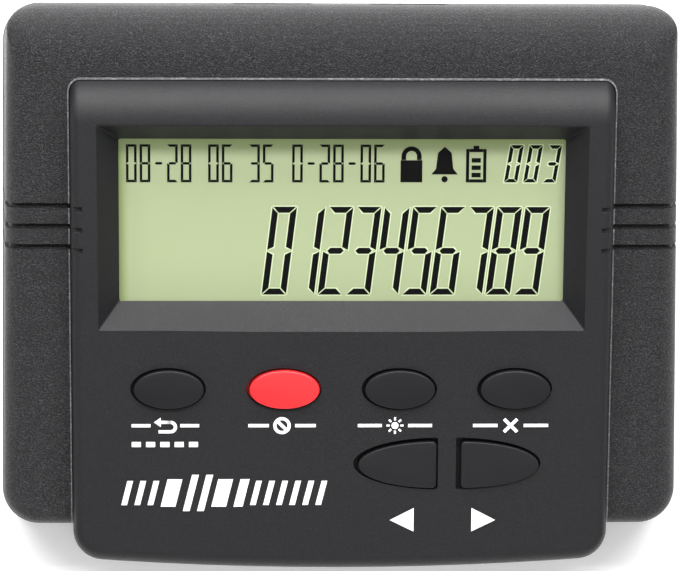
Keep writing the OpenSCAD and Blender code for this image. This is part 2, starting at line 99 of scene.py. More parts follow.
def box_mm(node: str) -> tuple[Vector, Vector]:
    """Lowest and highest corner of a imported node, in millimetres."""
    low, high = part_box(node)
    return low / MM, high / MM


def from_mesh(mesh: Mesh) -> BMesh:
    """Returns a bmesh with the contents of a mesh."""
    bm = bmesh.new()
    bm.from_mesh(mesh)
    return bm


def link(name: str, data: ID) -> Object:
    """Puts a new object with this data in the scene."""
    made = bpy.data.objects.new(name, data)
    bpy.context.scene.collection.objects.link(made)
    return made


def verts_in(made: Iterable[BMVert | BMEdge | BMFace]) -> list[BMVert]:
    """The vertices among what an operator made."""
    return [g for g in made if isinstance(g, BMVert)]


def extrude(bm: BMesh, faces: Iterable[BMFace], way: tuple[float, float, float]) -> BMesh:
    """Draws flat faces out into a solid, and returns the mesh."""
    made = bmesh.ops.extrude_face_region(bm, geom=list(faces))["geom"]
    bmesh.ops.translate(bm, vec=way, verts=verts_in(made))
    return bm


def round_edges(bm: BMesh, edges: Iterable[BMEdge], offset: float, segments: int) -> None:
    """Rounds edges.

    Args:
        bm: The mesh.
        edges: The edges to round.
        offset: Distance from the edge at which the rounding starts.
        segments: Number of faces across the rounding.
    """
    bmesh.ops.bevel(bm, geom=list(edges), offset=offset, offset_type="OFFSET", segments=segments,
                    profile=0.5, affect="EDGES", material=-1, clamp_overlap=True)


def round_corners(bm: BMesh, verts: Iterable[BMVert], offset: float, segments: int) -> None:
    """Rounds the corners of a flat outline.

    Args:
        bm: The mesh.
        verts: The corners to round.
        offset: Distance from the corner at which the rounding starts.
        segments: Number of edges along the rounding.
    """
    bmesh.ops.bevel(bm, geom=list(verts), offset=offset, offset_type="OFFSET", segments=segments,
                    profile=0.5, affect="VERTICES", material=-1)


def slice_across(bm: BMesh, point: tuple[float, float, float], normal: tuple[float, float, float],
                 clear: bool = False) -> None:
    """Adds a row of edges where a plane crosses a mesh.

    Args:
        bm: The mesh.
        point: A point of the plane.
        normal: The way the plane faces.
        clear: Whether what lies in front of the plane is removed.
    """
    bmesh.ops.bisect_plane(bm, geom=[*bm.verts, *bm.edges, *bm.faces], plane_co=point, plane_no=normal,
                           clear_outer=clear)


def with_modifiers(bm: BMesh, add: Callable[[Object], None]) -> BMesh:
    """Applies modifiers to a bmesh.

    Args:
        bm: The mesh, which is freed.
        add: Function that puts the modifiers on a temporary object.

    Returns:
        A new bmesh with the modifiers applied.
    """
    mesh = bpy.data.meshes.new("temporary")
    bm.to_mesh(mesh)
    bm.free()
    piece = link("temporary", mesh)
    add(piece)
    bpy.context.view_layer.update()
    done = piece.evaluated_get(bpy.context.evaluated_depsgraph_get())
    made = bpy.data.meshes.new_from_object(done)
    result = from_mesh(made)
    bpy.data.objects.remove(piece)
    bpy.data.meshes.remove(mesh)
    bpy.data.meshes.remove(made)
    return result


def thicken(bm: BMesh, wall: float, even: bool = True) -> BMesh:
    """Gives an open skin its wall, inwards.

    Args:
        bm: The skin, which is freed.
        wall: Thickness of the wall.
        even: Whether the wall keeps its thickness at corners; thin faces in a sharp fold need it off.

    Returns:
        The wall, as a solid.
    """

    def add(piece: Object) -> None:
        """Adds the thickness."""
        thick = piece.modifiers.new("wall", "SOLIDIFY")
        thick.thickness, thick.offset, thick.use_even_offset = wall, -1, even

    return with_modifiers(bm, add)


class Cut(Enum):
    """What a boolean does with its second solid."""

    REMOVE = "DIFFERENCE"
    JOIN = "UNION"
    KEEP = "INTERSECT"


def combine(bm: BMesh, tool: BMesh, how: Cut = Cut.REMOVE) -> BMesh:
    """Cuts one solid with another.

    Args:
        bm: The solid that is changed; it is freed.
        tool: The solid that changes it; it is freed.
        how: Whether the tool is removed, joined or kept.

    Returns:
        The resulting solid.
    """
    mesh = bpy.data.meshes.new("tool")
    bmesh.ops.recalc_face_normals(tool, faces=tool.faces)
    tool.to_mesh(mesh)
    tool.free()
    other = link("tool", mesh)

    def add(piece: Object) -> None:
        """Adds the boolean."""
        boolean = piece.modifiers.new("cut", "BOOLEAN")
        boolean.operation, boolean.solver, boolean.object = how.value, "EXACT", other

    result = with_modifiers(bm, add)
    bpy.data.objects.remove(other)
    bpy.data.meshes.remove(mesh)
    bmesh.ops.remove_doubles(result, verts=result.verts, dist=SAME)
    bmesh.ops.dissolve_degenerate(result, edges=result.edges, dist=SAME)
    return result


def cuboid(low: Iterable[float], high: Iterable[float]) -> BMesh:
    """A box between two corners, as a tool for cutting."""
    low, high = Vector(low), Vector(high)
    bm = bmesh.new()
    place = Matrix.Translation((low + high) / 2) @ Matrix.Diagonal((*(high - low), 1))
    bmesh.ops.create_cube(bm, size=1, matrix=place)
    return bm


def merge(parts: Iterable[BMesh]) -> BMesh:
    """Puts several bmeshes in one, and frees them."""
    whole = bmesh.new()
    for part in parts:
        mesh = bpy.data.meshes.new("part")
        part.to_mesh(mesh)
        part.free()
        whole.from_mesh(mesh)
        bpy.data.meshes.remove(mesh)
    return whole


def level_foot(bm: BMesh, height: float) -> BMesh:
    """Brings up to one height what hangs below it, and returns the mesh."""
    for vert in bm.verts:
        vert.co.z = max(vert.co.z, height)
    return bm


@dataclass(frozen=True)
class SlopingFace:
    """The plane of the face panel. u runs across it, v up the slope and w out of it."""

    height: float
    slope: float = 12.0

    @classmethod
    def under_lens(cls, lens_depth: float) -> "SlopingFace":
        """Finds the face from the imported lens.

        Args:
            lens_depth: Depth of the middle of the lens below the face.

        Returns:
            The face.
        """
        low, high = box_mm("lcd_window")
        middle = (low + high) / 2
        sine, cosine = math.sin(math.radians(cls.slope)), math.cos(math.radians(cls.slope))
        v = (middle.y - lens_depth * sine) / cosine
        return cls(middle.z - v * sine + lens_depth * cosine)

    @property
    def matrix(self) -> Matrix:
        """Turns u, v, w into the object's own axes."""
        return Matrix.Translation((0, 0, self.height)) @ Matrix.Rotation(math.radians(self.slope), 4, "X")

    def place(self, bm: BMesh, u: float = 0, v: float = 0, w: float = 0) -> BMesh:
        """Moves a mesh drawn flat to a place on the face, and returns it."""
        bmesh.ops.transform(bm, matrix=self.matrix @ Matrix.Translation((u, v, w)), verts=bm.verts)
        return bm

    def depth(self, point: Vector) -> float:
        """How far a point is above the face."""
        return (self.matrix.inverted() @ point).z

    def skin_z(self, y: float, drop: float) -> float:
        """Height of the plane that lies drop below the face, at y."""
        return self.height + y * tan(self.slope) - drop / math.cos(math.radians(self.slope))


def make_piece(name: str, bm: BMesh, body: str, finish: "Finish", *nodes: str, slot: str | None = None,
               sharp: float = 32.0, bevel: float = 0.0, metres: bool = False) -> Object:
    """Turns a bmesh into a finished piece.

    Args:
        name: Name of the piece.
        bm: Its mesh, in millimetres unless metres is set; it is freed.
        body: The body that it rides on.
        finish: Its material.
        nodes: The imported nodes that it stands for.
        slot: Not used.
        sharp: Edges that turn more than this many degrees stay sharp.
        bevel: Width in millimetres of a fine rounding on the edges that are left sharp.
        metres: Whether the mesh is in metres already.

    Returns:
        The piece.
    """
    if not metres:
        bmesh.ops.scale(bm, vec=(MM, MM, MM), verts=bm.verts)
    for face in bm.faces:
        face.smooth = True
    for edge in bm.edges:
        edge.smooth = not (len(edge.link_faces) == 2 and edge.calc_face_angle(0) > math.radians(sharp))
    mesh = bpy.data.meshes.new(name)
    bm.to_mesh(mesh)
    bm.free()
    piece = link(name, mesh)
    mesh.materials.append(finish.material())
    if bevel:
        edge_round = piece.modifiers.new("edge_round", "BEVEL")
        edge_round.width, edge_round.segments, edge_round.limit_method = bevel * MM, 3, "ANGLE"
        edge_round.angle_limit, edge_round.use_clamp_overlap = math.radians(sharp), True
    weighted = piece.modifiers.new("weighted_normals", "WEIGHTED_NORMAL")
    weighted.keep_sharp = not bevel
    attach(piece, body)
    if nodes:
        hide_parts(*nodes)
    LOG.info("%s: %d faces on %s", name, len(mesh.polygons), body)
    return piece


def refine(node: str, finish: "Finish", bevel: float) -> Object:
    """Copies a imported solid, merges its triangles into clean faces and rounds its edges.

    Args:
        node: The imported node.
        finish: The material.
        bevel: Edge rounding in millimetres.

    Returns:
        The piece that stands for the node.
    """
    source = frame["nodes"][node]
    bm = from_mesh(source.data)
    bmesh.ops.scale(bm, vec=(1 / MM,) * 3, verts=bm.verts)
    bmesh.ops.remove_doubles(bm, verts=bm.verts, dist=2e-4)
    bmesh.ops.dissolve_degenerate(bm, edges=bm.edges, dist=SAME)
    bmesh.ops.dissolve_limit(bm, angle_limit=math.radians(0.4), verts=bm.verts, edges=bm.edges)
    bmesh.ops.recalc_face_normals(bm, faces=bm.faces)
    return make_piece(f"{node}_finished", bm, source["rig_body"], finish, node, bevel=bevel)


# ---------------------------------------------------------------- finishes


def colour(code: str) -> tuple[float, float, float, float]:
    """Turns an sRGB hex code such as #3A3A3C into a linear colour."""
    parts = [int(code[i:i + 2], 16) / 255 for i in (1, 3, 5)]
    return (*(c / 12.92 if c <= 0.04045 else ((c + 0.055) / 1.055) ** 2.4 for c in parts), 1.0)


def add_node(tree: NodeTree, kind: str, settings: dict | None = None,
             links: dict | None = None) -> Node:
    """Adds a node.

    Args:
        tree: The node tree.
        kind: Type of the node, without its ShaderNode prefix.
        settings: Attributes, or values of inputs by name or number.
        links: Output sockets by the input that they feed.

    Returns:
        The node.
    """
    made = tree.nodes.new(f"ShaderNode{kind}")
    for key, value in (settings or {}).items():
        if isinstance(key, str) and hasattr(made, key):
            setattr(made, key, value)
        else:
            made.inputs[key].default_value = value
    for key, socket in (links or {}).items():
        tree.links.new(socket, made.inputs[key])
    return made


def per_mm(size: float) -> float:
    """Texture scale at which one feature is so many millimetres across."""
    return 1 / (size * MM)


@dataclass(frozen=True)
class Surface:
    """A material's nodes while it is made: the tree, its principled shader and the object coordinates."""

    tree: NodeTree
    shader: Node
    place: NodeSocket

    def feed(self, socket: NodeSocket, name: str) -> None:
        """Links a socket to an input of the shader."""
        self.tree.links.new(socket, self.shader.inputs[name])


@dataclass(frozen=True)
class Finish:
    """A material: its name, base colour and the values on its shader."""

    name: str
    base: str
    roughness: float = 0.5
    metallic: float = 0.0
    ior: float = 1.5
    extra: tuple[tuple[str, float], ...] = ()

    def material(self) -> Material:
        """Returns the material, made once."""
        found = bpy.data.materials.get(self.name)
        if found:
            return found
        made = bpy.data.materials.new(self.name)
        made.use_nodes = True
        made.diffuse_color = colour(self.base)
        tree = made.node_tree
        tree.nodes.clear()
        shader = add_node(tree, "BsdfPrincipled", {
            "Base Color": colour(self.base), "Roughness": self.roughness, "Metallic": self.metallic,
            "IOR": self.ior, **dict(self.extra)})
        add_node(tree, "OutputMaterial", links={"Surface": shader.outputs[0]})
        self.dress(Surface(tree, shader, add_node(tree, "TexCoord").outputs["Object"]))
        return made

    def dress(self, skin: Surface) -> None:
        """Adds the pattern of the finish to its surface."""

    def tint(self, skin: Surface, factor: NodeSocket, other: str, low: float = 0.35, high: float = 0.65) -> None:
        """Varies the colour between the base and another.

        Args:
            skin: The surface.
            factor: The pattern.
            other: The other colour.
            low: Where the pattern leaves the base colour.
            high: Where the pattern reaches the other.
        """
        ramp = add_node(skin.tree, "ValToRGB", links={"Fac": factor})
        first, last = ramp.color_ramp.elements
        first.position, first.color = low, colour(self.base)
        last.position, last.color = high, colour(other)
        skin.feed(ramp.outputs["Color"], "Base Color")

    def relief(self, skin: Surface, height: NodeSocket, depth: float) -> None:
        """Raises the surface by a pattern that is depth millimetres deep."""
        bump = add_node(skin.tree, "Bump", {"Distance": depth * MM}, {"Height": height})
        skin.feed(bump.outputs["Normal"], "Normal")

    def vary_gloss(self, skin: Surface, factor: NodeSocket, spread: float) -> None:
        """Varies the roughness either side of its value by a pattern."""
        span = {"To Min": self.roughness - spread, "To Max": self.roughness + spread}
        skin.feed(add_node(skin.tree, "MapRange", span, {"Value": factor}).outputs["Result"], "Roughness")


@dataclass(frozen=True)
class GrainedPlastic(Finish):
    """Injection moulded ABS with a grain etched in the mould."""

    other: str = "#444446"
    grain: float = 0.34
    depth: float = 0.02
    stretch: float = 1.6
    slant: float = 40.0

    def dress(self, skin: Surface) -> None:
        """Diagonal worms of grain, their tops painted lighter, partly the grain's own tone and partly painted glints,
        over a slow drift of the gloss.
        """
        turned = add_node(skin.tree, "Mapping", {
            "Rotation": (0, 0, math.radians(self.slant)), "Scale": (1, self.stretch, 1)}, {"Vector": skin.place})
        grain = add_node(skin.tree, "TexNoise", {
            "Scale": per_mm(self.grain), "Detail": 2.0, "Roughness": 0.55, "Distortion": 0.6},
            {"Vector": turned.outputs[0]}).outputs["Fac"]
        drift = add_node(skin.tree, "TexNoise", {"Scale": per_mm(22), "Detail": 1.0}, {"Vector": skin.place})
        # Lighter grain tops: partly the grain's tone, partly painted glints.
        self.tint(skin, grain, self.other, 0.48, 0.78)
        self.vary_gloss(skin, drift.outputs["Fac"], 0.05)
        self.relief(skin, grain, self.depth)


@dataclass(frozen=True)
class SmoothPlastic(Finish):
    """Moulded plastic from a polished mould: a faint orange peel and a little colour drift."""

    other: str = "#444446"
    peel: float = 0.004

    def dress(self, skin: Surface) -> None:
        """Waves a millimetre and a half across, too shallow to see but for the highlight."""
        waves, drift = (add_node(skin.tree, "TexNoise", {"Scale": per_mm(size), "Detail": detail},
                                 {"Vector": skin.place}).outputs["Fac"] for size, detail in ((1.5, 2.0), (15, 1.0)))
        self.tint(skin, drift, self.other)
        self.vary_gloss(skin, waves, 0.04)
        self.relief(skin, waves, self.peel)


@dataclass(frozen=True)
class LitGlass(Finish):
    """Liquid crystal panel over a lamp-lit guide: an even pale glow, with the bezel's shadow painted in as darkening
    towards its rear and left edges.
    """

    glow: float = 0.4
    # Colour of the painted bezel shadow, which the mottle also reaches a little towards.
    shadow_and_mottle_colour: str = "#75854C"
    # Where the painted bezel shadow fades in, in millimetres, towards the rear and towards the left.
    rear_shadow_band: tuple[float, float] = (22.6, 26.2)
    left_shadow_band: tuple[float, float] = (-37.0, -39.4)

    def dress(self, skin: Surface) -> None:
        """Paints the bezel's shadow as darkening towards the rear and left edges, with the same colour given off as
        reflected.
        """
        mottle = add_node(skin.tree, "TexNoise", {"Scale": per_mm(9), "Detail": 2.0}, {"Vector": skin.place})
        axes = add_node(skin.tree, "SeparateXYZ", links={0: skin.place}).outputs
        rear, left = (add_node(skin.tree, "MapRange", {"From Min": near * MM, "From Max": far * MM},
                               {"Value": axes[axis]}).outputs[0]
                      for axis, (near, far) in (("Y", self.rear_shadow_band), ("X", self.left_shadow_band)))
        # Painted shadow of the bezel, darkest at the rear and left edges.
        bezel_shadow = add_node(skin.tree, "Math", {"operation": "MAXIMUM"}, {0: rear, 1: left})
        mottle_and_shadow = add_node(skin.tree, "Math", {"operation": "MULTIPLY_ADD", 1: 0.12},
                          {0: mottle.outputs["Fac"], 2: bezel_shadow.outputs[0]})
        self.tint(skin, mottle_and_shadow.outputs[0], self.shadow_and_mottle_colour, 0.05, 1.1)
        skin.feed(skin.shader.inputs["Base Color"].links[0].from_socket, "Emission Color")
        skin.shader.inputs["Emission Strength"].default_value = self.glow


@dataclass(frozen=True)
class ClearSheet(Finish):
    """Clear acrylic: light passes, and the sheet shows more the flatter it is looked at."""

    def dress(self, skin: Surface) -> None:
        """The gloss of a clear sheet grows towards its edge-on angle."""
        facing = add_node(skin.tree, "LayerWeight", {"Blend": 0.5}).outputs["Facing"]
        steep = add_node(skin.tree, "Math", {"operation": "POWER", 1: 5.0}, {0: facing})
        haze = add_node(skin.tree, "TexNoise", {"Scale": per_mm(2.5), "Detail": 1.0}, {"Vector": skin.place})
        least = add_node(skin.tree, "MapRange", {"To Min": 0.004, "To Max": 0.012}, {"Value": haze.outputs["Fac"]})
        share = add_node(skin.tree, "Math", {"operation": "ADD", "use_clamp": True},
                         {0: steep.outputs[0], 1: least.outputs[0]})
        skin.feed(share.outputs[0], "Alpha")


@dataclass(frozen=True)
class Rubber(Finish):
    """Moulded rubber or silicone: a soft matt skin with dust in its pores."""

    other: str = "#2A2A2B"

    def dress(self, skin: Surface) -> None:
        """Pores half a millimetre apart."""
        pores = add_node(skin.tree, "TexVoronoi", {"Scale": per_mm(0.5)}, {"Vector": skin.place}).outputs["Distance"]
        self.tint(skin, pores, self.other, 0.2, 0.9)
        self.relief(skin, pores, 0.01)


@dataclass(frozen=True)
class PlatedMetal(Finish):
    """Zinc, nickel or gold on steel or bronze: drawn lines and a cloudy lustre."""

    other: str = "#8E8E92"
    metallic: float = 1.0

    def dress(self, skin: Surface) -> None:
        """Lines a fifth of a millimetre apart over clouds of three."""
        long = add_node(skin.tree, "Mapping", {"Scale": (0.1, 1, 1)}, {"Vector": skin.place}).outputs[0]
        lines, clouds = (add_node(skin.tree, "TexNoise", {"Scale": per_mm(size), "Detail": detail},
                                  {"Vector": place}).outputs["Fac"]
                         for size, detail, place in ((0.2, 1.0, long), (3, 2.0, skin.place)))
        self.tint(skin, clouds, self.other)
        self.vary_gloss(skin, lines, 0.08)
        self.relief(skin, lines, 0.002)


@dataclass(frozen=True)
class EpoxyBoard(Finish):
    """Green solder mask over woven glass: the weave shows faintly, with darker copper under it."""

    track: str = "#2C6B3E"

    def dress(self, skin: Surface) -> None:
        """A weave of half a millimetre and tracks two millimetres apart."""
        weave = add_node(skin.tree, "TexChecker", {
            "Scale": per_mm(0.5), "Color1": (0.4, 0.4, 0.4, 1), "Color2": (0.6, 0.6, 0.6, 1)}, {"Vector": skin.place})
        tracks = add_node(skin.tree, "TexWave", {"Scale": per_mm(2) / math.tau, "Distortion": 4.0, "Detail": 1.0},
                          {"Vector": skin.place})
        self.tint(skin, tracks.outputs["Fac"], self.track, 0.5, 0.6)
        self.relief(skin, weave.outputs["Fac"], 0.01)


@dataclass(frozen=True)
class PadPrint(Finish):
    """Ink laid by a soft pad: opaque, matt and very slightly mottled."""

    other: str = "#E2E2E2"

    def dress(self, skin: Surface) -> None:
        """Ink thins in flecks a third of a millimetre across."""
        flecks = add_node(skin.tree, "TexNoise", {"Scale": per_mm(0.33), "Detail": 2.0}, {"Vector": skin.place})
        self.tint(skin, flecks.outputs["Fac"], self.other, 0.55, 0.8)


@dataclass(frozen=True)
class Banded(Finish):
    """A sleeve, winding or flat cable: even stripes along one axis, a pitch apart."""

    other: str = "#303034"
    pitch: float = 1.27

    def dress(self, skin: Surface) -> None:
        """Stripes one pitch apart, raised a twentieth of a millimetre."""
        bands = add_node(skin.tree, "TexWave", {"Scale": per_mm(self.pitch) / 20}, {"Vector": skin.place})
        self.tint(skin, bands.outputs["Fac"], self.other, 0.6, 0.9)
        self.relief(skin, bands.outputs["Fac"], 0.05)


# An etched skin throws back less of the light than a flat one of the same plastic.
SATIN = (("Specular IOR Level", 0.27),)
# Charcoal ABS off a coarsely etched mould: broken, sparkling highlights over the shoulders. The grain
# is drawn a third of a millimetre wide, coarse enough to show.
# Its much paler grain tops are partly painted glints of the grain.
COVER_ABS = GrainedPlastic("charcoal_abs_coarse_grain", "#121214", 0.4, other="#4A4A4C", grain=0.28, depth=0.34,
                           extra=SATIN)
# The same plastic off a finer mould: calmer and a little silkier.
PANEL_ABS = GrainedPlastic("charcoal_abs_fine_grain", "#19191B", 0.45, other="#29292B", grain=0.22, depth=0.06,
                           extra=SATIN)
# The same plastic, painted paler as a painted highlight where the opening's edge catches the light, and broken along
# its length.
EDGE_HIGHLIGHT_ABS = GrainedPlastic("charcoal_abs_painted_edge_highlight", "#58585A", 0.4, other="#9A9A9C", grain=0.6, depth=0.01)
# The lower case, off a plain satin mould.
CASE_ABS = GrainedPlastic("charcoal_abs_satin", "#18181A", 0.5, other="#202022", grain=0.4, depth=0.008,
                          extra=SATIN)
# Key caps off a polished mould: a soft window of light on each crown.
KEY_ABS = SmoothPlastic("charcoal_abs_polished", "#1A1A1C", 0.36, other="#1C1C1E", extra=SATIN)
RED_ABS = SmoothPlastic("red_abs_polished", "#DA2428", 0.34, other="#E02C30", extra=(("Coat Weight", 0.15),))
ARROW_ABS = GrainedPlastic("charcoal_abs_arrow", "#1A1A1C", 0.42, other="#222224", grain=0.26, depth=0.01,
                           extra=SATIN)
LENS = ClearSheet("clear_acrylic", "#FFFFFF", 0.04, metallic=1.0, ior=1.49)
# The display's two lit finishes carry the painted bezel shadow towards their rear and left edges.
LIT_LCD = LitGlass("lit_liquid_crystal", "#8C9674", 0.45, glow=0.36)
SEGMENT_INK = PadPrint("liquid_crystal_segments", "#020202", 0.8, other="#060605",
                       extra=(("Specular IOR Level", 0.1),))
HALO = LitGlass("segment_halo", "#AAB594", 0.5, glow=0.5, shadow_and_mottle_colour="#94A274")
WHITE_INK = PadPrint("white_pad_print", "#F4F4F4", 0.55)
BLACK_RUBBER = Rubber("black_rubber", "#161617", 0.85)
GREY_SILICONE = Rubber("grey_silicone", "#BEBEBA", 0.7, other="#ACACA8")
PINK_SILICONE = Rubber("conductive_silicone", "#D98A94", 0.7, other="#8A5058")
ZINC = PlatedMetal("zinc_plated_steel", "#B4B4BA", 0.35)
NICKEL = PlatedMetal("nickel_plate", "#D2D0CC", 0.25, other="#BDBBB6")
GOLD = PlatedMetal("gold_plate", "#E6BE5A", 0.25, other="#CFA445")
BOARD = EpoxyBoard("green_epoxy_board", "#1A5230", 0.3)
NYLON = SmoothPlastic("black_nylon", "#1C1C1E", 0.42, other="#242426")
WHITE_PC = SmoothPlastic("white_polycarbonate", "#E8E8E4", 0.45, other="#DCDCD6")
GUIDE = SmoothPlastic("frosted_acrylic", "#E8F0D8", 0.6, other="#DCE8C8")
LAMP = SmoothPlastic("lamp_resin", "#F0F0D0", 0.3, other="#FFFFE8")
CHIP = SmoothPlastic("epoxy_package", "#1A1A1B", 0.6, other="#222223")
RELAY = SmoothPlastic("relay_case", "#D8701E", 0.45, other="#C8641A")
FERRITE = Banded("wound_ferrite", "#3A3A3B", 0.5, other="#B4762C", pitch=0.6)
CAN_SLEEVE = Banded("can_sleeve", "#26305C", 0.35, other="#303C70", pitch=2.5)
FLAT_CABLE = Banded("flat_cable", "#9A9A9A", 0.5, other="#B4B4B4", pitch=1.27)
CELL_SLEEVE = Banded("cell_sleeve", "#3A3A44", 0.35, other="#44444E", pitch=14.0)
RED_PVC = SmoothPlastic("red_pvc", "#C8201C", 0.45, other="#B41C18")
PALE_FLOOR = SmoothPlastic("pale_floor", "#FCFCFC", 0.8, other="#F8F8F8", extra=(("Emission Strength", 0.15),))


# ---------------------------------------------------------------- mouldings


@dataclass
class WedgeBlock:
    """A moulding's outer form: a front wall, a sloping top and a rear wall, with rounded edges."""

    face: SlopingFace
    half_x: float
    front_y: float
    rear_y: float
    base_z: float
    drop: float = 0.0
    foot: float = 0.0
    lean: float = 5.0
    side_lean: float = 5.0

    def wall_y(self, y: float, z: float) -> float:
        """Where a leaning wall that starts at y stands at height z."""
        return y - math.copysign((z - self.base_z) * tan(self.lean), y)

    def top_z(self, y: float) -> float:
        """Height at which the wall that starts at y meets the top."""
        z = self.base_z
        for _ in range(20):
            z = self.face.skin_z(self.wall_y(y, z), self.drop)
        return z

    def block(self) -> BMesh:
        """Returns the plain block, its sides leaning in with height."""
        bm = bmesh.new()
        front, rear = self.top_z(self.front_y), self.top_z(self.rear_y)
        foot = self.base_z - self.foot
        corners = ((self.wall_y(self.front_y, foot), foot), (self.wall_y(self.rear_y, foot), foot),
                   (self.wall_y(self.rear_y, rear), rear), (self.wall_y(self.front_y, front), front))
        side = bm.faces.new([bm.verts.new((-1, y, z)) for y, z in corners])
        extrude(bm, [side], (2, 0, 0))
        for vert in bm.verts:
            vert.co.x *= self.half_x - (vert.co.z - self.base_z) * tan(self.side_lean)
        bmesh.ops.recalc_face_normals(bm, faces=bm.faces)
        return bm

    def across(self, bm: BMesh, rear: bool) -> list[BMEdge]:
        """The edges across the top of the front or rear wall."""
        top = self.top_z(self.rear_y if rear else self.front_y)
        wall = self.wall_y(self.rear_y, top)
        found = []
        for edge in bm.edges:
            a, b = (v.co for v in edge.verts)
            at_top = all(abs(c.z - top) < 0.05 for c in (a, b))
            on_rear = all(abs(c.y - wall) < 0.05 for c in (a, b))
            if abs(a.x - b.x) > 0.01 and at_top and on_rear == rear:
                found.append(edge)
        return found


@dataclass
class OuterCover:
    """The grained upper moulding with its wings, grip grooves and jack mouths."""

    face: SlopingFace
    drop: float = 3.9
    rear_r: float = 10.0
    front_r: float = 2.5
    side_r: float = 3.0
    corner_r: float = 6.5
    inner_r: float = 4.0
    rings: int = 12
    wall: float = 1.8
    seam: float = 0.25
    ledge: float = 0.08
    bead: tuple[float, float] = (0.19, 0.14)
    rim_lap: float = 0.04
    groove_w: float = 0.9
    groove_d: float = 0.65
    groove_pitch: float = 3.64
    groove_v: float = 9.68
    groove_x: float = 45.0
    grooves: int = 3
    run_out: float = 16.0
    mouth: tuple = ((-0.2, 6.0, -3.0), (0.2, 9.0, 0.3))
    reach: tuple[float, float, float] = (0.92, 1.13, 0.74)

    def outer(self, inset: float = 0.0) -> BMesh:
        """Returns the rounded outer form: its outline, drawn up in rings over the shoulders to the skin.

        Args:
            inset: How much smaller it is all round than the real one.

        Returns:
            A closed solid that stands on the joint of the case.
        """
        low, high = box_mm("outer_cover")
        form = WedgeBlock(self.face, high.x - self.ledge - inset, low.y + self.ledge + inset,
                          high.y - self.ledge - inset, low.z, self.drop + inset)
        bm = bmesh.new()
        bm.faces.new([bm.verts.new((x * form.half_x, y, low.z)) for x, y in (
            (-1, form.rear_y), (1, form.rear_y), (1, form.front_y), (-1, form.front_y))])
        radius = self.corner_r - inset
        round_corners(bm, bm.verts, radius, 12)
        for y in (form.rear_y - radius - self.run_out, 0.0):
            slice_across(bm, (0, y, 0), (0, 1, 0))
        edges = [e for e in bm.edges if len(e.link_faces) == 1]
        tracks = {v: self.track(v.co.copy(), form, radius, inset) for e in edges for v in e.verts}
        for step in range(self.rings + 1):
            made = bmesh.ops.extrude_edge_only(bm, edges=edges)["geom"]
            edges = [g for g in made if isinstance(g, BMEdge) and g.is_boundary]
            above = {}
            for vert in verts_in(made):
                below = next(e.other_vert(vert) for e in vert.link_edges if e.other_vert(vert) in tracks)
                above[vert] = tracks[below]
                vert.co = above[vert][step]
            tracks = above
        bmesh.ops.holes_fill(bm, edges=edges, sides=0)
        bmesh.ops.recalc_face_normals(bm, faces=bm.faces)
        return bm

    def track(self, start: Vector, form: WedgeBlock, radius: float, inset: float) -> list[Vector]:
        """Finds the line from a point of the outline over the shoulder.

        Args:
            start: The point, on the joint of the case.
            form: The plain form of the cover.
            radius: Corner radius of the outline.
            inset: How much smaller the cover is all round.

        Returns:
            A point for each ring, the last on the skin.
        """
        side = math.copysign(1, start.x)
        centre_x, rear, front = form.half_x - radius, form.rear_y - radius, form.front_y + radius
        centre_y = min(max(start.y, front), rear)
        out = Vector((abs(start.x) - centre_x, start.y - centre_y)) / radius
        if abs(abs(start.x) - form.half_x) < 1e-3:
            out = Vector((1, 0))
        side_off, rear_off, front_off = ((r - inset) * k for r, k in zip(
            (self.side_r, self.rear_r, self.front_r), self.reach))
        ridge = self.ridge(Vector((abs(start.x), start.y, form.base_z)), out, form)
        edge_x = self.ridge(Vector((form.half_x, centre_y, form.base_z)), Vector((1, 0)), form).x - side_off
        if start.y > rear - 0.01:
            inner_y = form.wall_y(form.rear_y, form.top_z(form.rear_y)) - rear_off
            end = Vector((edge_x - self.inner_r, inner_y - self.inner_r)) + out * self.inner_r
            drop = side_off + (rear_off - side_off) * out.y ** 2
        elif start.y < front + 0.01:
            inner_y = form.wall_y(form.front_y, form.top_z(form.front_y)) + front_off
            end = Vector((centre_x + (edge_x - centre_x) * out.x, front - (front - inner_y) * abs(out.y)))
            drop = side_off + (front_off - side_off) * out.y ** 2
        else:
            end, drop = Vector((edge_x, start.y)), side_off
        foot = Vector((abs(start.x), start.y, form.base_z))
        first = ridge + (foot - ridge).normalized() * drop
        last = Vector((*end, self.face.skin_z(end.y, form.drop)))
        points = []
        for step in range(self.rings + 1):
            t = step / self.rings
            shares = (1 - t) ** 2, math.sqrt(2) * t * (1 - t), t ** 2
            point = (first * shares[0] + ridge * shares[1] + last * shares[2]) / sum(shares)
            points.append(Vector((side * point.x, point.y, point.z)))
        return points

    @staticmethod
    def ridge(foot: Vector, out: Vector, form: WedgeBlock) -> Vector:
        """Where the wall that leans in from its foot would meet the skin."""
        z = foot.z
        for _ in range(20):
            back = (z - foot.z) * tan(form.lean)
            z = form.face.skin_z(foot.y - out.y * back, form.drop)
        return Vector((foot.x - out.x * back, foot.y - out.y * back, z))

    def shell(self) -> BMesh:
        """Returns the outer form as a wall, open below."""
        bm = self.outer()
        bottom = [f for f in bm.faces if f.normal.z < -0.9]
        bmesh.ops.delete(bm, geom=bottom, context="FACES_ONLY")
        return level_foot(thicken(bm, self.wall), box_mm("outer_cover")[0].z)

    def slabs(self, foot: float) -> list[BMesh]:
        """Returns a slab for each grip groove, from foot above the face upwards."""
        made = []
        for side in (-1, 1):
            for row in range(self.grooves):
                v = self.groove_v + (row - (self.grooves - 1) / 2) * self.groove_pitch
                near, far = sorted((side * self.groove_x, side * FAR))
                slab = cuboid((near, -self.groove_w / 2, foot), (far, self.groove_w / 2, 10))
                made.append(self.face.place(slab, v=v))
        return made

    def groove_tool(self) -> BMesh:
        """Returns the slabs that cut the grip grooves, down to their floors."""
        return combine(merge(self.slabs(-FAR / 2)), self.outer(self.groove_d))

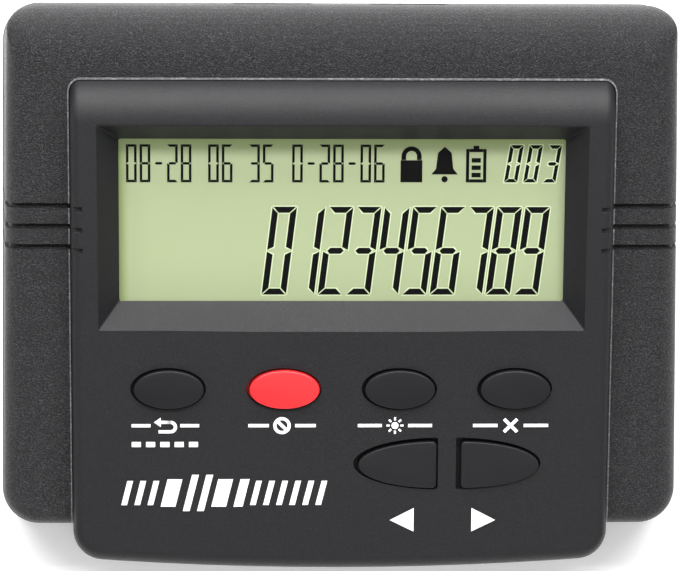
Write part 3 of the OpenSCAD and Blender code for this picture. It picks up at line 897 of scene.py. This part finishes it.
    def build(self, panel: "FacePanel") -> Object:
        """Builds the cover.

        Args:
            panel: The face panel, which lies in the cover's opening.

        Returns:
            The piece.
        """
        bm = level_foot(combine(self.shell(), panel.outer(self.seam)), box_mm("outer_cover")[0].z)
        bm = combine(bm, self.groove_tool())
        for jack in ("line_jack", "phone_jack"):
            low, high = box_mm(jack)
            bm = combine(bm, cuboid(low + Vector(self.mouth[0]), high + Vector(self.mouth[1])))
        return make_piece("outer_cover_moulding", bm, HOUSING, COVER_ABS, "outer_cover", bevel=0.2)

    def rim(self, panel: "FacePanel") -> Object:
        """Builds the fine raised rim of the panel's opening, painted pale as a painted highlight along its edge."""
        width, height = self.bead
        bm = combine(panel.outer(self.seam + width), self.outer(-height), Cut.KEEP)
        bm = combine(bm, panel.outer(self.seam - self.rim_lap))
        bm = combine(combine(bm, self.outer(height)), self.groove_tool())
        # The rim's pale colour is a painted highlight where the opening's edge catches the light.
        return make_piece("opening_rim_painted_highlight", bm, HOUSING, EDGE_HIGHLIGHT_ABS, slot="outer_cover")


@dataclass
class FacePanel:
    """The raised face with its bowed tongue, display recess, key holes and notches."""

    face: SlopingFace
    rear_y: float = 38.8
    rear_r: float = 8.0
    edge_r: float = 1.8
    tongue_r: float = 4.8
    bow: float = 1.8
    wall: float = 1.6
    skirt: float = 9.5
    recess_d: float = 4.5
    window: tuple[float, float] = (77.7, 28.75)
    window_v: float = 10.65
    side_ramp: float = 3.65
    rear_ramp: float = 3.05
    front_ramp: float = 4.55
    rim_r: float = 1.5
    pit_r: float = 0.3
    columns: int = 12

    def outer(self, grow: float = 0.0) -> BMesh:
        """Returns the rounded outer form.

        Args:
            grow: How much larger it is all round; a grown form also reaches a little lower.

        Returns:
            A closed solid.
        """
        low, high = box_mm("front_panel")
        form = WedgeBlock(self.face, high.x + grow, low.y - grow, self.rear_y + grow, low.z, -grow,
                          foot=1.0 if grow else 0.0, side_lean=0.0)
        bm = form.block()
        round_edges(bm, form.across(bm, True), (self.rear_r + grow) * 1.13, 12)
        for column in range(1, self.columns):
            slice_across(bm, (form.half_x * (2 * column / self.columns - 1), 0, 0), (1, 0, 0))
        for vert in bm.verts:
            if abs(vert.co.y - form.wall_y(form.front_y, vert.co.z)) < 0.1:
                vert.co.y += self.bow * (vert.co.x / form.half_x) ** 2
        posts = [e for e in bm.edges if all(abs(v.co.x) > form.half_x - 0.1 and v.co.y < -30 for v in e.verts)
                 and abs(e.verts[0].co.z - e.verts[1].co.z) > 1 and abs(e.verts[0].co.y - e.verts[1].co.y) < 3]
        round_edges(bm, posts, self.tongue_r + grow, 10)
        bmesh.ops.dissolve_limit(bm, angle_limit=math.radians(0.3), verts=bm.verts, edges=bm.edges)
        round_edges(bm, [e for e in bm.edges if self.is_outline(e, low.z)], self.edge_r + grow, 6)
        return bm

    def is_outline(self, edge: BMEdge, base_z: float) -> bool:
        """Whether an edge turns sharply at the top, or runs down a rear corner."""
        if len(edge.link_faces) != 2 or edge.calc_face_angle(0) < math.radians(40):
            return False
        a, b = (v.co for v in edge.verts)
        return min(a.z, b.z) > base_z + 0.5 or (a.y > 20 and abs(a.z - b.z) > 1)

    def recess_tool(self) -> BMesh:
        """Returns the sloping pit of the display, wider than the window by its ramps."""
        bm = bmesh.new()
        half_u, half_v = (size / 2 for size in self.window)
        over = 2 * self.recess_d
        for w, share in ((-self.recess_d, 0.0), (over - self.recess_d, over / self.recess_d)):
            ring = [bm.verts.new((u, v, w)) for u, v in (
                (-half_u - self.side_ramp * share, -half_v - self.front_ramp * share),
                (half_u + self.side_ramp * share, -half_v - self.front_ramp * share),
                (half_u + self.side_ramp * share, half_v + self.rear_ramp * share),
                (-half_u - self.side_ramp * share, half_v + self.rear_ramp * share))]
            bm.faces.new(ring)
        bmesh.ops.bridge_loops(bm, edges=[e for e in bm.edges])
        bmesh.ops.recalc_face_normals(bm, faces=bm.faces)
        walls = [e for e in bm.edges if abs(e.verts[0].co.z - e.verts[1].co.z) > 1]
        round_edges(bm, walls, self.pit_r, 3)
        return self.face.place(bm, v=self.window_v)

    def build(self, holes: list[BMesh], cover: OuterCover) -> Object:
        """Builds the panel.

        Args:
            holes: The solids of the key holes; they are freed.
            cover: The cover, whose grip grooves run on as notches.

        Returns:
            The piece.
        """
        bm = combine(self.outer(), self.recess_tool())
        rim = [e for e in bm.edges if all(abs(self.face.depth(v.co)) < 0.01 for v in e.verts)
               and len(e.link_faces) == 2 and math.radians(30) < e.calc_face_angle(0) < math.radians(80)
               and all(abs(v.co.x) < self.window[0] / 2 + self.side_ramp + 0.5 for v in e.verts)]
        round_edges(bm, rim, self.rim_r, 6)
        floor = [f for f in bm.faces if f.normal.z < -0.9
                 or (f.normal.z > 0.9 and abs(self.face.depth(f.calc_center_median()) + self.recess_d) < 0.02)]
        bmesh.ops.delete(bm, geom=floor, context="FACES_ONLY")
        inwards = self.face.matrix.to_3x3() @ Vector((0, 0, -1))
        slice_across(bm, self.face.matrix @ Vector((0, 0, -self.skirt)), inwards, clear=True)
        bm = level_foot(thicken(bm, self.wall, even=False), box_mm("front_panel")[0].z)
        for tool in (*holes, *cover.slabs(-cover.groove_d)):
            bm = combine(bm, tool)
        return make_piece("face_panel_moulding", bm, HOUSING, PANEL_ABS, "front_panel", bevel=0.2)


# ---------------------------------------------------------------- keys


class KeyShape(Enum):
    """Outline of a key."""

    OVAL = "oval"
    LEFT = "left"
    RIGHT = "right"


@dataclass
class PressKey:
    """One key: a cap with a softly rounded edge, its retaining flange and its stem."""

    node: str
    face: SlopingFace
    shape: KeyShape
    u: float
    v: float
    finish: Finish
    size: tuple[float, float] = (13.2, 7.5)
    gap: tuple[float, float] = (0.5, 0.36)
    settle: tuple[float, float] = (0.12, -0.04)
    proud: float = 0.8
    fall: float = 0.12
    edge: float = 0.18
    corner_r: float = 0.35
    flange: float = 0.9
    flange_t: float = 1.0
    flange_w: float = -3.35
    stem: float = 1.9
    stem_end: float = -6.95

    @property
    def post_u(self) -> float:
        """Where the stem stands: the middle of an oval, or nearer the square end of an arrow."""
        side = {KeyShape.OVAL: 0, KeyShape.LEFT: -1, KeyShape.RIGHT: 1}[self.shape]
        return self.u + side * 0.38 * self.size[0]

    def outline(self, grow: float, w: float) -> BMesh:
        """Returns the key's outline as one flat face.

        Args:
            grow: How much larger than the hole it is all round.
            w: Its height above the face.

        Returns:
            The outline, round the place of the key.
        """
        bm = bmesh.new()
        bmesh.ops.create_circle(bm, cap_ends=True, segments=96, radius=1)
        long, half = self.size[0], self.size[1] / 2 + grow
        if self.shape is KeyShape.OVAL:
            bmesh.ops.scale(bm, vec=(long / 2 + grow, half, 1), verts=bm.verts)
        else:
            bmesh.ops.scale(bm, vec=(long + 2 * grow, half, 1), verts=bm.verts)
            slice_across(bm, (0, 0, 0), (1, 0, 0), clear=True)
            bmesh.ops.remove_doubles(bm, verts=bm.verts, dist=SAME)
            square = [v for v in bm.verts if v.co.x > -0.01 and abs(v.co.y) > half * 0.9]
            round_corners(bm, square, self.corner_r + grow * 0.7, 6)
            bmesh.ops.translate(bm, vec=(grow, 0, 0), verts=bm.verts)
            if self.shape is KeyShape.RIGHT:
                bmesh.ops.rotate(bm, cent=(0, 0, 0), matrix=Matrix.Rotation(math.pi, 3, "Z"), verts=bm.verts)
        bmesh.ops.translate(bm, vec=(self.u, self.v, w), verts=bm.verts)
        return bm

    def hole(self) -> BMesh:
        """Returns the solid that cuts the key's hole in the panel."""
        bm = self.outline(0, -2.2)
        extrude(bm, bm.faces, (0, 0, 6))
        bmesh.ops.recalc_face_normals(bm, faces=bm.faces)
        return self.face.place(bm)

    def build(self) -> Object:
        """Builds the key and returns it."""
        bm = self.outline(self.flange, self.flange_w)
        top = self.lift(bm, list(bm.faces), self.flange_t)
        top = self.lift(bm, top, 0, *(self.flange + gap for gap in self.gap))
        for vert in {v for f in top for v in f.verts}:
            vert.co += Vector((*self.settle, 0))
        top = self.lift(bm, top, self.proud - self.flange_w - self.flange_t - self.edge)
        steps = 6
        for step in range(steps):
            a, b = (math.radians(90 * i / steps) for i in (step, step + 1))
            inset = self.edge * (math.cos(a) - math.cos(b))
            top = self.lift(bm, top, self.edge * (math.sin(b) - math.sin(a)), inset, inset)
        for _ in range(3):
            top = self.lift(bm, top, self.fall * 0.2, self.size[1] * 0.12, self.size[1] * 0.12)
        stem = bmesh.new()
        bmesh.ops.create_cone(stem, cap_ends=True, segments=32, radius1=self.stem, radius2=self.stem,
                              depth=self.flange_w - self.stem_end + 0.2)
        bmesh.ops.translate(stem, vec=(self.post_u, self.v, (self.flange_w + self.stem_end) / 2 + 0.1),
                            verts=stem.verts)
        bm = merge((bm, stem))
        bmesh.ops.recalc_face_normals(bm, faces=bm.faces)
        return make_piece(f"{self.node}_cap", self.face.place(bm), self.node, self.finish, self.node, sharp=50)

    @staticmethod
    def lift(bm: BMesh, faces: list, height: float, inset_u: float = 0.0, inset_v: float = 0.0) -> list:
        """Extrudes a flat face straight up and draws its outline in.

        Args:
            bm: The mesh.
            faces: The face.
            height: How far it rises.
            inset_u: How much shorter it becomes at each end.
            inset_v: How much lower it becomes above and below.

        Returns:
            The raised face.
        """
        joined = any(len(edge.link_faces) > 1 for face in faces for edge in face.edges)
        made = bmesh.ops.extrude_face_region(bm, geom=faces)["geom"]
        if joined:
            bmesh.ops.delete(bm, geom=faces, context="FACES_ONLY")
        verts = verts_in(made)
        low = Vector([min(v.co[i] for v in verts) for i in range(2)])
        high = Vector([max(v.co[i] for v in verts) for i in range(2)])
        middle, half = (low + high) / 2, (high - low) / 2
        scale = ((half.x - inset_u) / half.x, (half.y - inset_v) / half.y, 1)
        bmesh.ops.scale(bm, vec=scale, space=Matrix.Translation((-middle.x, -middle.y, 0)), verts=verts)
        bmesh.ops.translate(bm, vec=(0, 0, height), verts=verts)
        return [g for g in made if isinstance(g, BMFace)]


@dataclass
class KeypadMat:
    """The moulded mat on the main board: a sheet, and a dome under each key."""

    face: SlopingFace
    keys: list[PressKey]
    foot: float = -10.1
    sheet: tuple[float, float, float] = (76.0, 27.0, 0.8)
    corner: float = 2.0
    middle: float = -25.25
    dome_top: float = -7.0
    dome_r: tuple[float, float] = (3.15, 2.1)
    travel: float = 1.0

    def build(self) -> None:
        """Builds the sheet and its six domes."""
        width, length, thick = self.sheet
        bm = bmesh.new()
        bmesh.ops.create_grid(bm, x_segments=1, y_segments=1, size=0.5)
        bmesh.ops.scale(bm, vec=(width, length, 1), verts=bm.verts)
        round_corners(bm, bm.verts, self.corner, 6)
        extrude(bm, bm.faces, (0, 0, thick))
        bmesh.ops.recalc_face_normals(bm, faces=bm.faces)
        make_piece("keypad_sheet", self.face.place(bm, 0, self.middle, self.foot), HOUSING, GREY_SILICONE,
                   "keypad_mat", bevel=0.15)
        for key in self.keys:
            self.dome(key)

    def dome(self, key: PressKey) -> None:
        """Builds the dome under one key.

        Args:
            key: The key that presses it.
        """
        base = self.foot + self.sheet[2]
        height = self.dome_top - base
        bm = bmesh.new()
        bmesh.ops.create_cone(bm, cap_ends=True, segments=40, radius1=self.dome_r[0], radius2=self.dome_r[1],
                              depth=height)
        piece = make_piece(f"{key.node}_dome", self.face.place(bm, key.post_u, key.v, base + height / 2), HOUSING,
                           GREY_SILICONE, slot="keypad_mat", bevel=0.25)
        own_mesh(piece)


# ---------------------------------------------------------------- flat marks


@dataclass
class Stencil:
    """Flat marks drawn on a plane and raised by the thickness of their ink."""

    low: float
    high: float
    bm: BMesh = field(default_factory=bmesh.new)

    def shape(self, points: Iterable[tuple[float, float]]) -> None:
        """Adds a plate with straight sides."""
        face = self.bm.faces.new([self.bm.verts.new((x, y, self.low)) for x, y in points])
        extrude(self.bm, [face], (0, 0, self.high - self.low))

    def bar(self, start: tuple[float, float], end: tuple[float, float], width: float) -> None:
        """Adds a straight bar from one point to another."""
        a, b = Vector(start), Vector(end)
        side = (b - a).orthogonal().normalized() * width / 2
        self.shape([tuple(p) for p in (a + side, b + side, b - side, a - side)])

    def ring(self, centre: tuple[float, float], radius: float, width: float, turn: float = 360,
             start: float = 0) -> None:
        """Adds a ring, or an arc of one, spun from a small square."""
        corners = [self.bm.verts.new((centre[0] + r, centre[1], z)) for r, z in (
            (radius - width / 2, self.low), (radius + width / 2, self.low),
            (radius + width / 2, self.high), (radius - width / 2, self.high))]
        sides = [self.bm.edges.new((corners[i - 1], corners[i])) for i in range(4)]
        begin = Matrix.Rotation(math.radians(start), 3, "Z")
        bmesh.ops.rotate(self.bm, cent=(*centre, 0), matrix=begin, verts=corners)
        made = bmesh.ops.spin(self.bm, geom=sides, cent=(*centre, 0), axis=(0, 0, 1), angle=math.radians(turn),
                              steps=max(8, round(turn / 9)), use_merge=turn >= 360, use_duplicate=False)
        if turn < 360:
            ends = [g for g in made["geom_last"] if isinstance(g, BMEdge)]
            bmesh.ops.holes_fill(self.bm, edges=sides, sides=4)
            bmesh.ops.holes_fill(self.bm, edges=ends, sides=4)

    def disc(self, centre: tuple[float, float], radius: float) -> None:
        """Adds a disc."""
        bmesh.ops.create_cone(self.bm, cap_ends=True, segments=32, radius1=radius, radius2=radius,
                              depth=self.high - self.low,
                              matrix=Matrix.Translation((*centre, (self.low + self.high) / 2)))

    def piece(self, name: str, face: SlopingFace, finish: Finish, slot: str) -> Object:
        """Lays the marks on the sloping face and returns the piece."""
        bmesh.ops.remove_doubles(self.bm, verts=self.bm.verts, dist=SAME)
        bmesh.ops.recalc_face_normals(self.bm, faces=self.bm.faces)
        return make_piece(name, face.place(self.bm), HOUSING, finish, slot=slot, sharp=30)


# Bars of a seven-bar numeral that are dark for each digit: a is the top one, then clockwise, and g
# is the middle one.
NUMERAL_BARS = {"0": "abcdef", "1": "bc", "2": "abged", "3": "abgcd", "4": "fgbc", "5": "afgcd",
                "6": "afgedc", "7": "abc", "8": "abcdefg", "9": "abcdfg", "-": "g"}


@dataclass(frozen=True)
class NumeralFace:
    """Sizes of one line of seven-bar numerals."""

    width: float
    height: float
    stroke: float
    pitch: float
    slant: float = 0.0
    split: float = 0.06

    def bars(self, digit: str) -> list[list[tuple[float, float]]]:
        """Outlines of the dark bars of a digit, from its lower left corner."""
        w, h, s, g, m = self.width, self.height, self.stroke, self.split, self.height / 2
        shapes = {
            "a": [(g, h), (w - g, h), (w - s - g, h - s), (s + g, h - s)],
            "b": [(w, h - g), (w, m + g), (w - s, m + s / 2 + g), (w - s, h - s - g)],
            "c": [(w, m - g), (w, g), (w - s, s + g), (w - s, m - s / 2 - g)],
            "d": [(g, 0), (s + g, s), (w - s - g, s), (w - g, 0)],
            "e": [(0, g), (0, m - g), (s, m - s / 2 - g), (s, s + g)],
            "f": [(0, m + g), (0, h - g), (s, h - s - g), (s, m + s / 2 + g)],
            "g": [(s / 2 + g, m), (s + g, m + s / 2), (w - s - g, m + s / 2), (w - s / 2 - g, m),
                  (w - s - g, m - s / 2), (s + g, m - s / 2)],
        }
        return [shapes[bar] for bar in NUMERAL_BARS[digit]]

    def write(self, stencil: Stencil, digits: str, u: float, v: float, grow: float = 0.0) -> None:
        """Writes digits.

        Args:
            stencil: Where the bars go.
            digits: The digits; a space leaves a gap.
            u: Left end of the line.
            v: Foot of the line.
            grow: How much wider each bar is all round.
        """
        for place, digit in enumerate(digits):
            if digit == " ":
                continue
            for outline in self.bars(digit):
                middle = Vector((sum(p[0] for p in outline), sum(p[1] for p in outline))) / len(outline)
                points = []
                for x, y in outline:
                    away = Vector((x, y)) - middle
                    x += math.copysign(grow, away.x) if abs(away.x) > 0.05 else 0
                    y += math.copysign(grow, away.y) if abs(away.y) > 0.05 else 0
                    points.append((u + place * self.pitch + x + y * tan(self.slant), v + y))
                stencil.shape(points)


@dataclass
class Display:
    """The dark bars of the display and the pale edge that lies round them."""

    face: SlopingFace
    level: float = -6.19
    ink: float = 0.03
    numerals: NumeralFace = NumeralFace(4.3, 15.7, 1.08, 4.92, slant=6.9, split=0.15)
    letters: NumeralFace = NumeralFace(1.85, 6.7, 0.44, 2.38, split=0.02)
    counter: NumeralFace = NumeralFace(2.3, 6.6, 0.62, 3.35, slant=9.0, split=0.08)

    def build(self) -> None:
        """Builds the bars and their pale edge."""
        ink = Stencil(self.level, self.level + self.ink)
        halo = Stencil(self.level - 0.005, self.level + 0.005)
        for stencil, grow in ((ink, 0.0), (halo, 0.2)):
            self.numerals.write(stencil, "0123456789", -14.0, -2.96, grow)
            self.counter.write(stencil, "003", 28.3, 17.1, grow)
        self.letters.write(ink, "08-28 06 35", -37.6, 17.05)
        self.letters.write(ink, "0-28-06", -8.7, 17.05)
        self.symbols(ink)
        halo.piece("display_pale_edges", self.face, HALO, "lcd_glass")
        ink.piece("display_dark_bars", self.face, SEGMENT_INK, "lcd_glass")

    def symbols(self, ink: Stencil) -> None:
        """Draws a padlock, a bell and a cell in heavy lines."""
        foot, heavy = 17.1, 0.8
        ink.shape([(10.2, foot), (14.0, foot), (14.0, foot + 3.9), (10.2, foot + 3.9)])
        ink.ring((12.1, foot + 4.6), 1.35, heavy, 180)
        for x in (10.75, 13.45):
            ink.bar((x, foot + 3.95), (x, foot + 4.6), heavy)
        ink.shape([(15.6, foot + 1.4), (20.2, foot + 1.4), (19.4, foot + 2.4), (19.1, foot + 5.2), (17.9, foot + 6.3),
                   (16.7, foot + 5.2), (16.4, foot + 2.4)])
        ink.disc((17.9, foot + 0.55), 0.55)
        for x in (21.9, 24.9):
            ink.bar((x, foot), (x, foot + 5.9), heavy * 0.7)
        for y in (0.26, 5.64):
            ink.bar((22.2, foot + y), (24.6, foot + y), heavy * 0.7)
        ink.bar((22.9, foot + 6.2), (23.9, foot + 6.2), 0.55)
        for y in (1.3, 2.6, 3.9):
            ink.bar((22.6, foot + y), (24.2, foot + y), heavy)


@dataclass
class PrintedMarks:
    """White pad print under the keys, and a plain striped ornament."""

    face: SlopingFace
    row_v: float = -25.1
    ink: float = 0.03
    line: float = 0.58

    def build(self) -> Object:
        """Builds the marks and returns the piece."""
        art = Stencil(-0.005, self.ink)
        self.back(art, -30.8, self.row_v)
        art.ring((-10.4, self.row_v), 1.25, self.line)
        art.bar((-11.1, self.row_v + 0.7), (-9.7, self.row_v - 0.7), self.line)
        sun = Vector((9.4, self.row_v))
        art.disc(tuple(sun), 0.62)
        for turn in range(8):
            way = Vector((1, 0)) @ Matrix.Rotation(math.radians(turn * 45), 2)
            near, far = (tuple(sun + way * reach) for reach in (0.92, 1.5))
            art.bar(near, far, 0.34)
        for turn in (-1, 1):
            art.bar((29.7 - 1.15, self.row_v - 1.15 * turn), (29.7 + 1.15, self.row_v + 1.15 * turn), self.line)
        for u, length in ((-10.4, 5.9), (9.4, 6.5), (29.7, 6.6)):
            self.dashes(art, u, self.row_v, length, 2.3)
        for u, side in ((10.75, -1), (25.15, 1)):
            art.shape([(u - side * 2.1, -40.1), (u - side * 2.1, -44.4), (u + side * 2.1, -42.3)])
        self.stripes(art)
        return art.piece("printed_marks", self.face, WHITE_INK, "front_panel")

    def dashes(self, art: Stencil, u: float, v: float, reach: float, clear: float) -> None:
        """Draws a long dash on each side of a symbol."""
        for side in (-1, 1):
            art.bar((u + side * clear, v), (u + side * reach, v), self.line)

    def back(self, art: Stencil, u: float, v: float) -> None:
        """Draws a returning arrow with its dashes, over a row of short ones."""
        art.shape([(u - 2.0, v + 0.6), (u - 0.8, v + 1.45), (u - 0.8, v - 0.25)])
        art.bar((u - 0.75, v + 0.6), (u + 0.9, v + 0.6), self.line)
        art.ring((u + 0.9, v - 0.25), 0.85, self.line, 180, -90)
        art.bar((u - 1.2, v - 1.1), (u + 0.85, v - 1.1), self.line)
        self.dashes(art, u, v, 5.9, 2.6)
        for step in range(5):
            art.bar((u - 5.9 + step * 2.5, v - 3.4), (u - 4.3 + step * 2.5, v - 3.4), self.line * 1.6)

    def stripes(self, art: Stencil) -> None:
        """Draws a row of leaning stripes, the middle ones tallest."""
        u = -38.6
        for width, height in ((1.0, 4.4), (1.0, 4.4), (1.0, 4.4), (2.6, 5.0), (1.2, 6.6), (1.2, 6.6), (2.6, 5.0),
                              (1.6, 5.0), (1.0, 4.4), (1.0, 4.4), (1.0, 4.4), (1.0, 4.4), (1.0, 4.4), (1.0, 4.4)):
            low, lean = -37.3 - height / 2, height * tan(14)
            art.shape([(u, low), (u + width, low), (u + width + lean, low + height), (u + lean, low + height)])
            u += width + 1.3


# ---------------------------------------------------------------- the rest of the case


REFINED = {
    "bottom_case": (CASE_ABS, 0.3), "battery_door": (CASE_ABS, 0.25), "line_jack": (NYLON, 0.2),
    "phone_jack": (NYLON, 0.2), "rubber_feet": (BLACK_RUBBER, 0.35), "case_screws": (ZINC, 0.1),
    "lcd_window": (LENS, 0.1), "line_relay": (RELAY, 0.2),
}
DRESSED = {
    "lcd_glass": LIT_LCD, "lcd_frame": WHITE_PC, "backlight_guide": GUIDE, "backlight_leds": LAMP,
    "zebra_strip": PINK_SILICONE, "main_board": BOARD, "processor_chip": CHIP,
    "clock_crystal": NICKEL, "jack_board": BOARD, "jack_contacts": GOLD, "line_transformer": FERRITE,
    "capacitors": CAN_SLEEVE, "ribbon_cable": FLAT_CABLE, "battery_cell_front": CELL_SLEEVE,
    "battery_cell_middle": CELL_SLEEVE, "battery_cell_rear": CELL_SLEEVE, "battery_springs": NICKEL,
    "battery_plates": NICKEL, "battery_leads": RED_PVC, "board_screws": ZINC,
}


def dress_packed_nodes() -> None:
    """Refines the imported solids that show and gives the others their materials."""
    for node, (finish, bevel) in REFINED.items():
        refine(node, finish, bevel)
    for node, finish in DRESSED.items():
        piece = frame["nodes"][node]
        for slot in piece.material_slots:
            slot.material = finish.material()
        LOG.info("%s: packed solid dressed", node)


# ---------------------------------------------------------------- studio


@dataclass
class Studio:
    """Floor, soft lights and camera."""

    camera_place: tuple[float, float, float] = (-0.01867, 0.00186, 0.63733)
    camera_turn: tuple[float, float, float] = (-0.176, -1.713, 0.031)
    lens: float = 185.567
    aim: tuple[float, float, float] = (0.0, 0.0, 0.02)
    sky: tuple[float, float] = (0.2, 0.25)

    def build(self) -> None:
        """Builds the whole studio."""
        self.floor()
        self.world()
        self.softbox("rear_softbox", (0, 0.9, 0.6), (1.4, 0.4), 16.0)
        self.softbox("high_rear_softbox", (0, 0.62, 1.0), (1.4, 0.2), 20.0)
        self.softbox("front_softbox", (0, -0.9, 0.4), (1.2, 0.3), 3.2)
        self.softbox("top_softbox", (0, -0.1, 1.6), (0.7, 0.5), 3.5)
        self.softbox("left_strip", (-0.7, 0.2, 0.6), (0.9, 0.1), 1.2)
        self.softbox("right_strip", (0.7, 0.2, 0.6), (0.9, 0.1), 1.2)
        self.camera()

    def floor(self) -> None:
        """Lays a wide pale floor."""
        bm = bmesh.new()
        bmesh.ops.create_grid(bm, x_segments=1, y_segments=1, size=4)
        mesh = bpy.data.meshes.new("floor")
        bm.to_mesh(mesh)
        bm.free()
        mesh.materials.append(PALE_FLOOR.material())
        link("floor", mesh)

    def world(self) -> None:
        """Fills the room with even pale light."""
        world = bpy.data.worlds.new("studio")
        world.use_nodes = True
        tree = world.node_tree
        back = tree.nodes["Background"]
        back.inputs["Color"].default_value = (1, 1, 1, 1)
        way = add_node(tree, "TexCoord").outputs["Generated"]
        rise = add_node(tree, "SeparateXYZ", links={0: way}).outputs["Z"]
        low, high = self.sky
        fall = add_node(tree, "MapRange", {"From Max": 0.7, "To Min": low, "To Max": high}, {"Value": rise})
        tree.links.new(fall.outputs["Result"], back.inputs["Strength"])
        bpy.context.scene.world = world
        bpy.context.scene.view_settings.view_transform = "Standard"

    def softbox(self, name: str, place: tuple[float, float, float], size: tuple[float, float], power: float) -> None:
        """Hangs a soft light that faces the object.

        Args:
            name: Name of the light.
            place: Where it hangs, in metres.
            size: Width and height of its panel.
            power: Its power in watts.
        """
        light = bpy.data.lights.new(name, "AREA")
        light.shape, light.size, light.size_y, light.energy = "RECTANGLE", *size, power
        lamp = link(name, light)
        lamp.location = place
        lamp.rotation_euler = (Vector(self.aim) - Vector(place)).to_track_quat("-Z", "Y").to_euler()

    def camera(self) -> None:
        """Sets the camera over the object, looking almost straight down."""
        data = bpy.data.cameras.new("camera")
        data.sensor_width, data.lens = 36, self.lens
        view = link("camera", data)
        view.location = self.camera_place
        view.rotation_euler = Euler([math.radians(turn) for turn in self.camera_turn])
        bpy.context.scene.camera = view


def press_keys(face: SlopingFace) -> list[PressKey]:
    """Sets out the six keys.

    Args:
        face: The face that they stand in.

    Returns:
        The row of four ovals, then the two arrows below it.
    """
    ovals = [PressKey(node, face, KeyShape.OVAL, sum(v.x for v in box_mm(node)) / 2, OVAL_V, finish)
             for node, finish in (("back_key", KEY_ABS), ("block_key", RED_ABS), ("bright_key", KEY_ABS),
                                  ("delete_key", KEY_ABS))]
    arrows = [PressKey(f"{shape.value}_key", face, shape, ARROW_U + side * ARROW_HALF_GAP, ARROW_V, ARROW_ABS,
                       size=(14.9, 9.4), gap=(0.6, 0.5), settle=(0.3, -0.23), proud=0.35)
              for shape, side in ((KeyShape.LEFT, -1), (KeyShape.RIGHT, 1))]
    return ovals + arrows


def main() -> None:
    """Builds every piece in order."""
    logging.basicConfig(level=logging.INFO, format="%(message)s")
    face = SlopingFace.under_lens(LENS_DEPTH)
    cover, panel = OuterCover(face), FacePanel(face)
    keys = press_keys(face)
    cover.build(panel)
    cover.rim(panel)
    panel.build([key.hole() for key in keys], cover)
    for key in keys:
        key.build()
    KeypadMat(face, keys).build()
    Display(face).build()
    PrintedMarks(face).build()
    dress_packed_nodes()
    Studio().build()


if __name__ == "__main__":
    main()
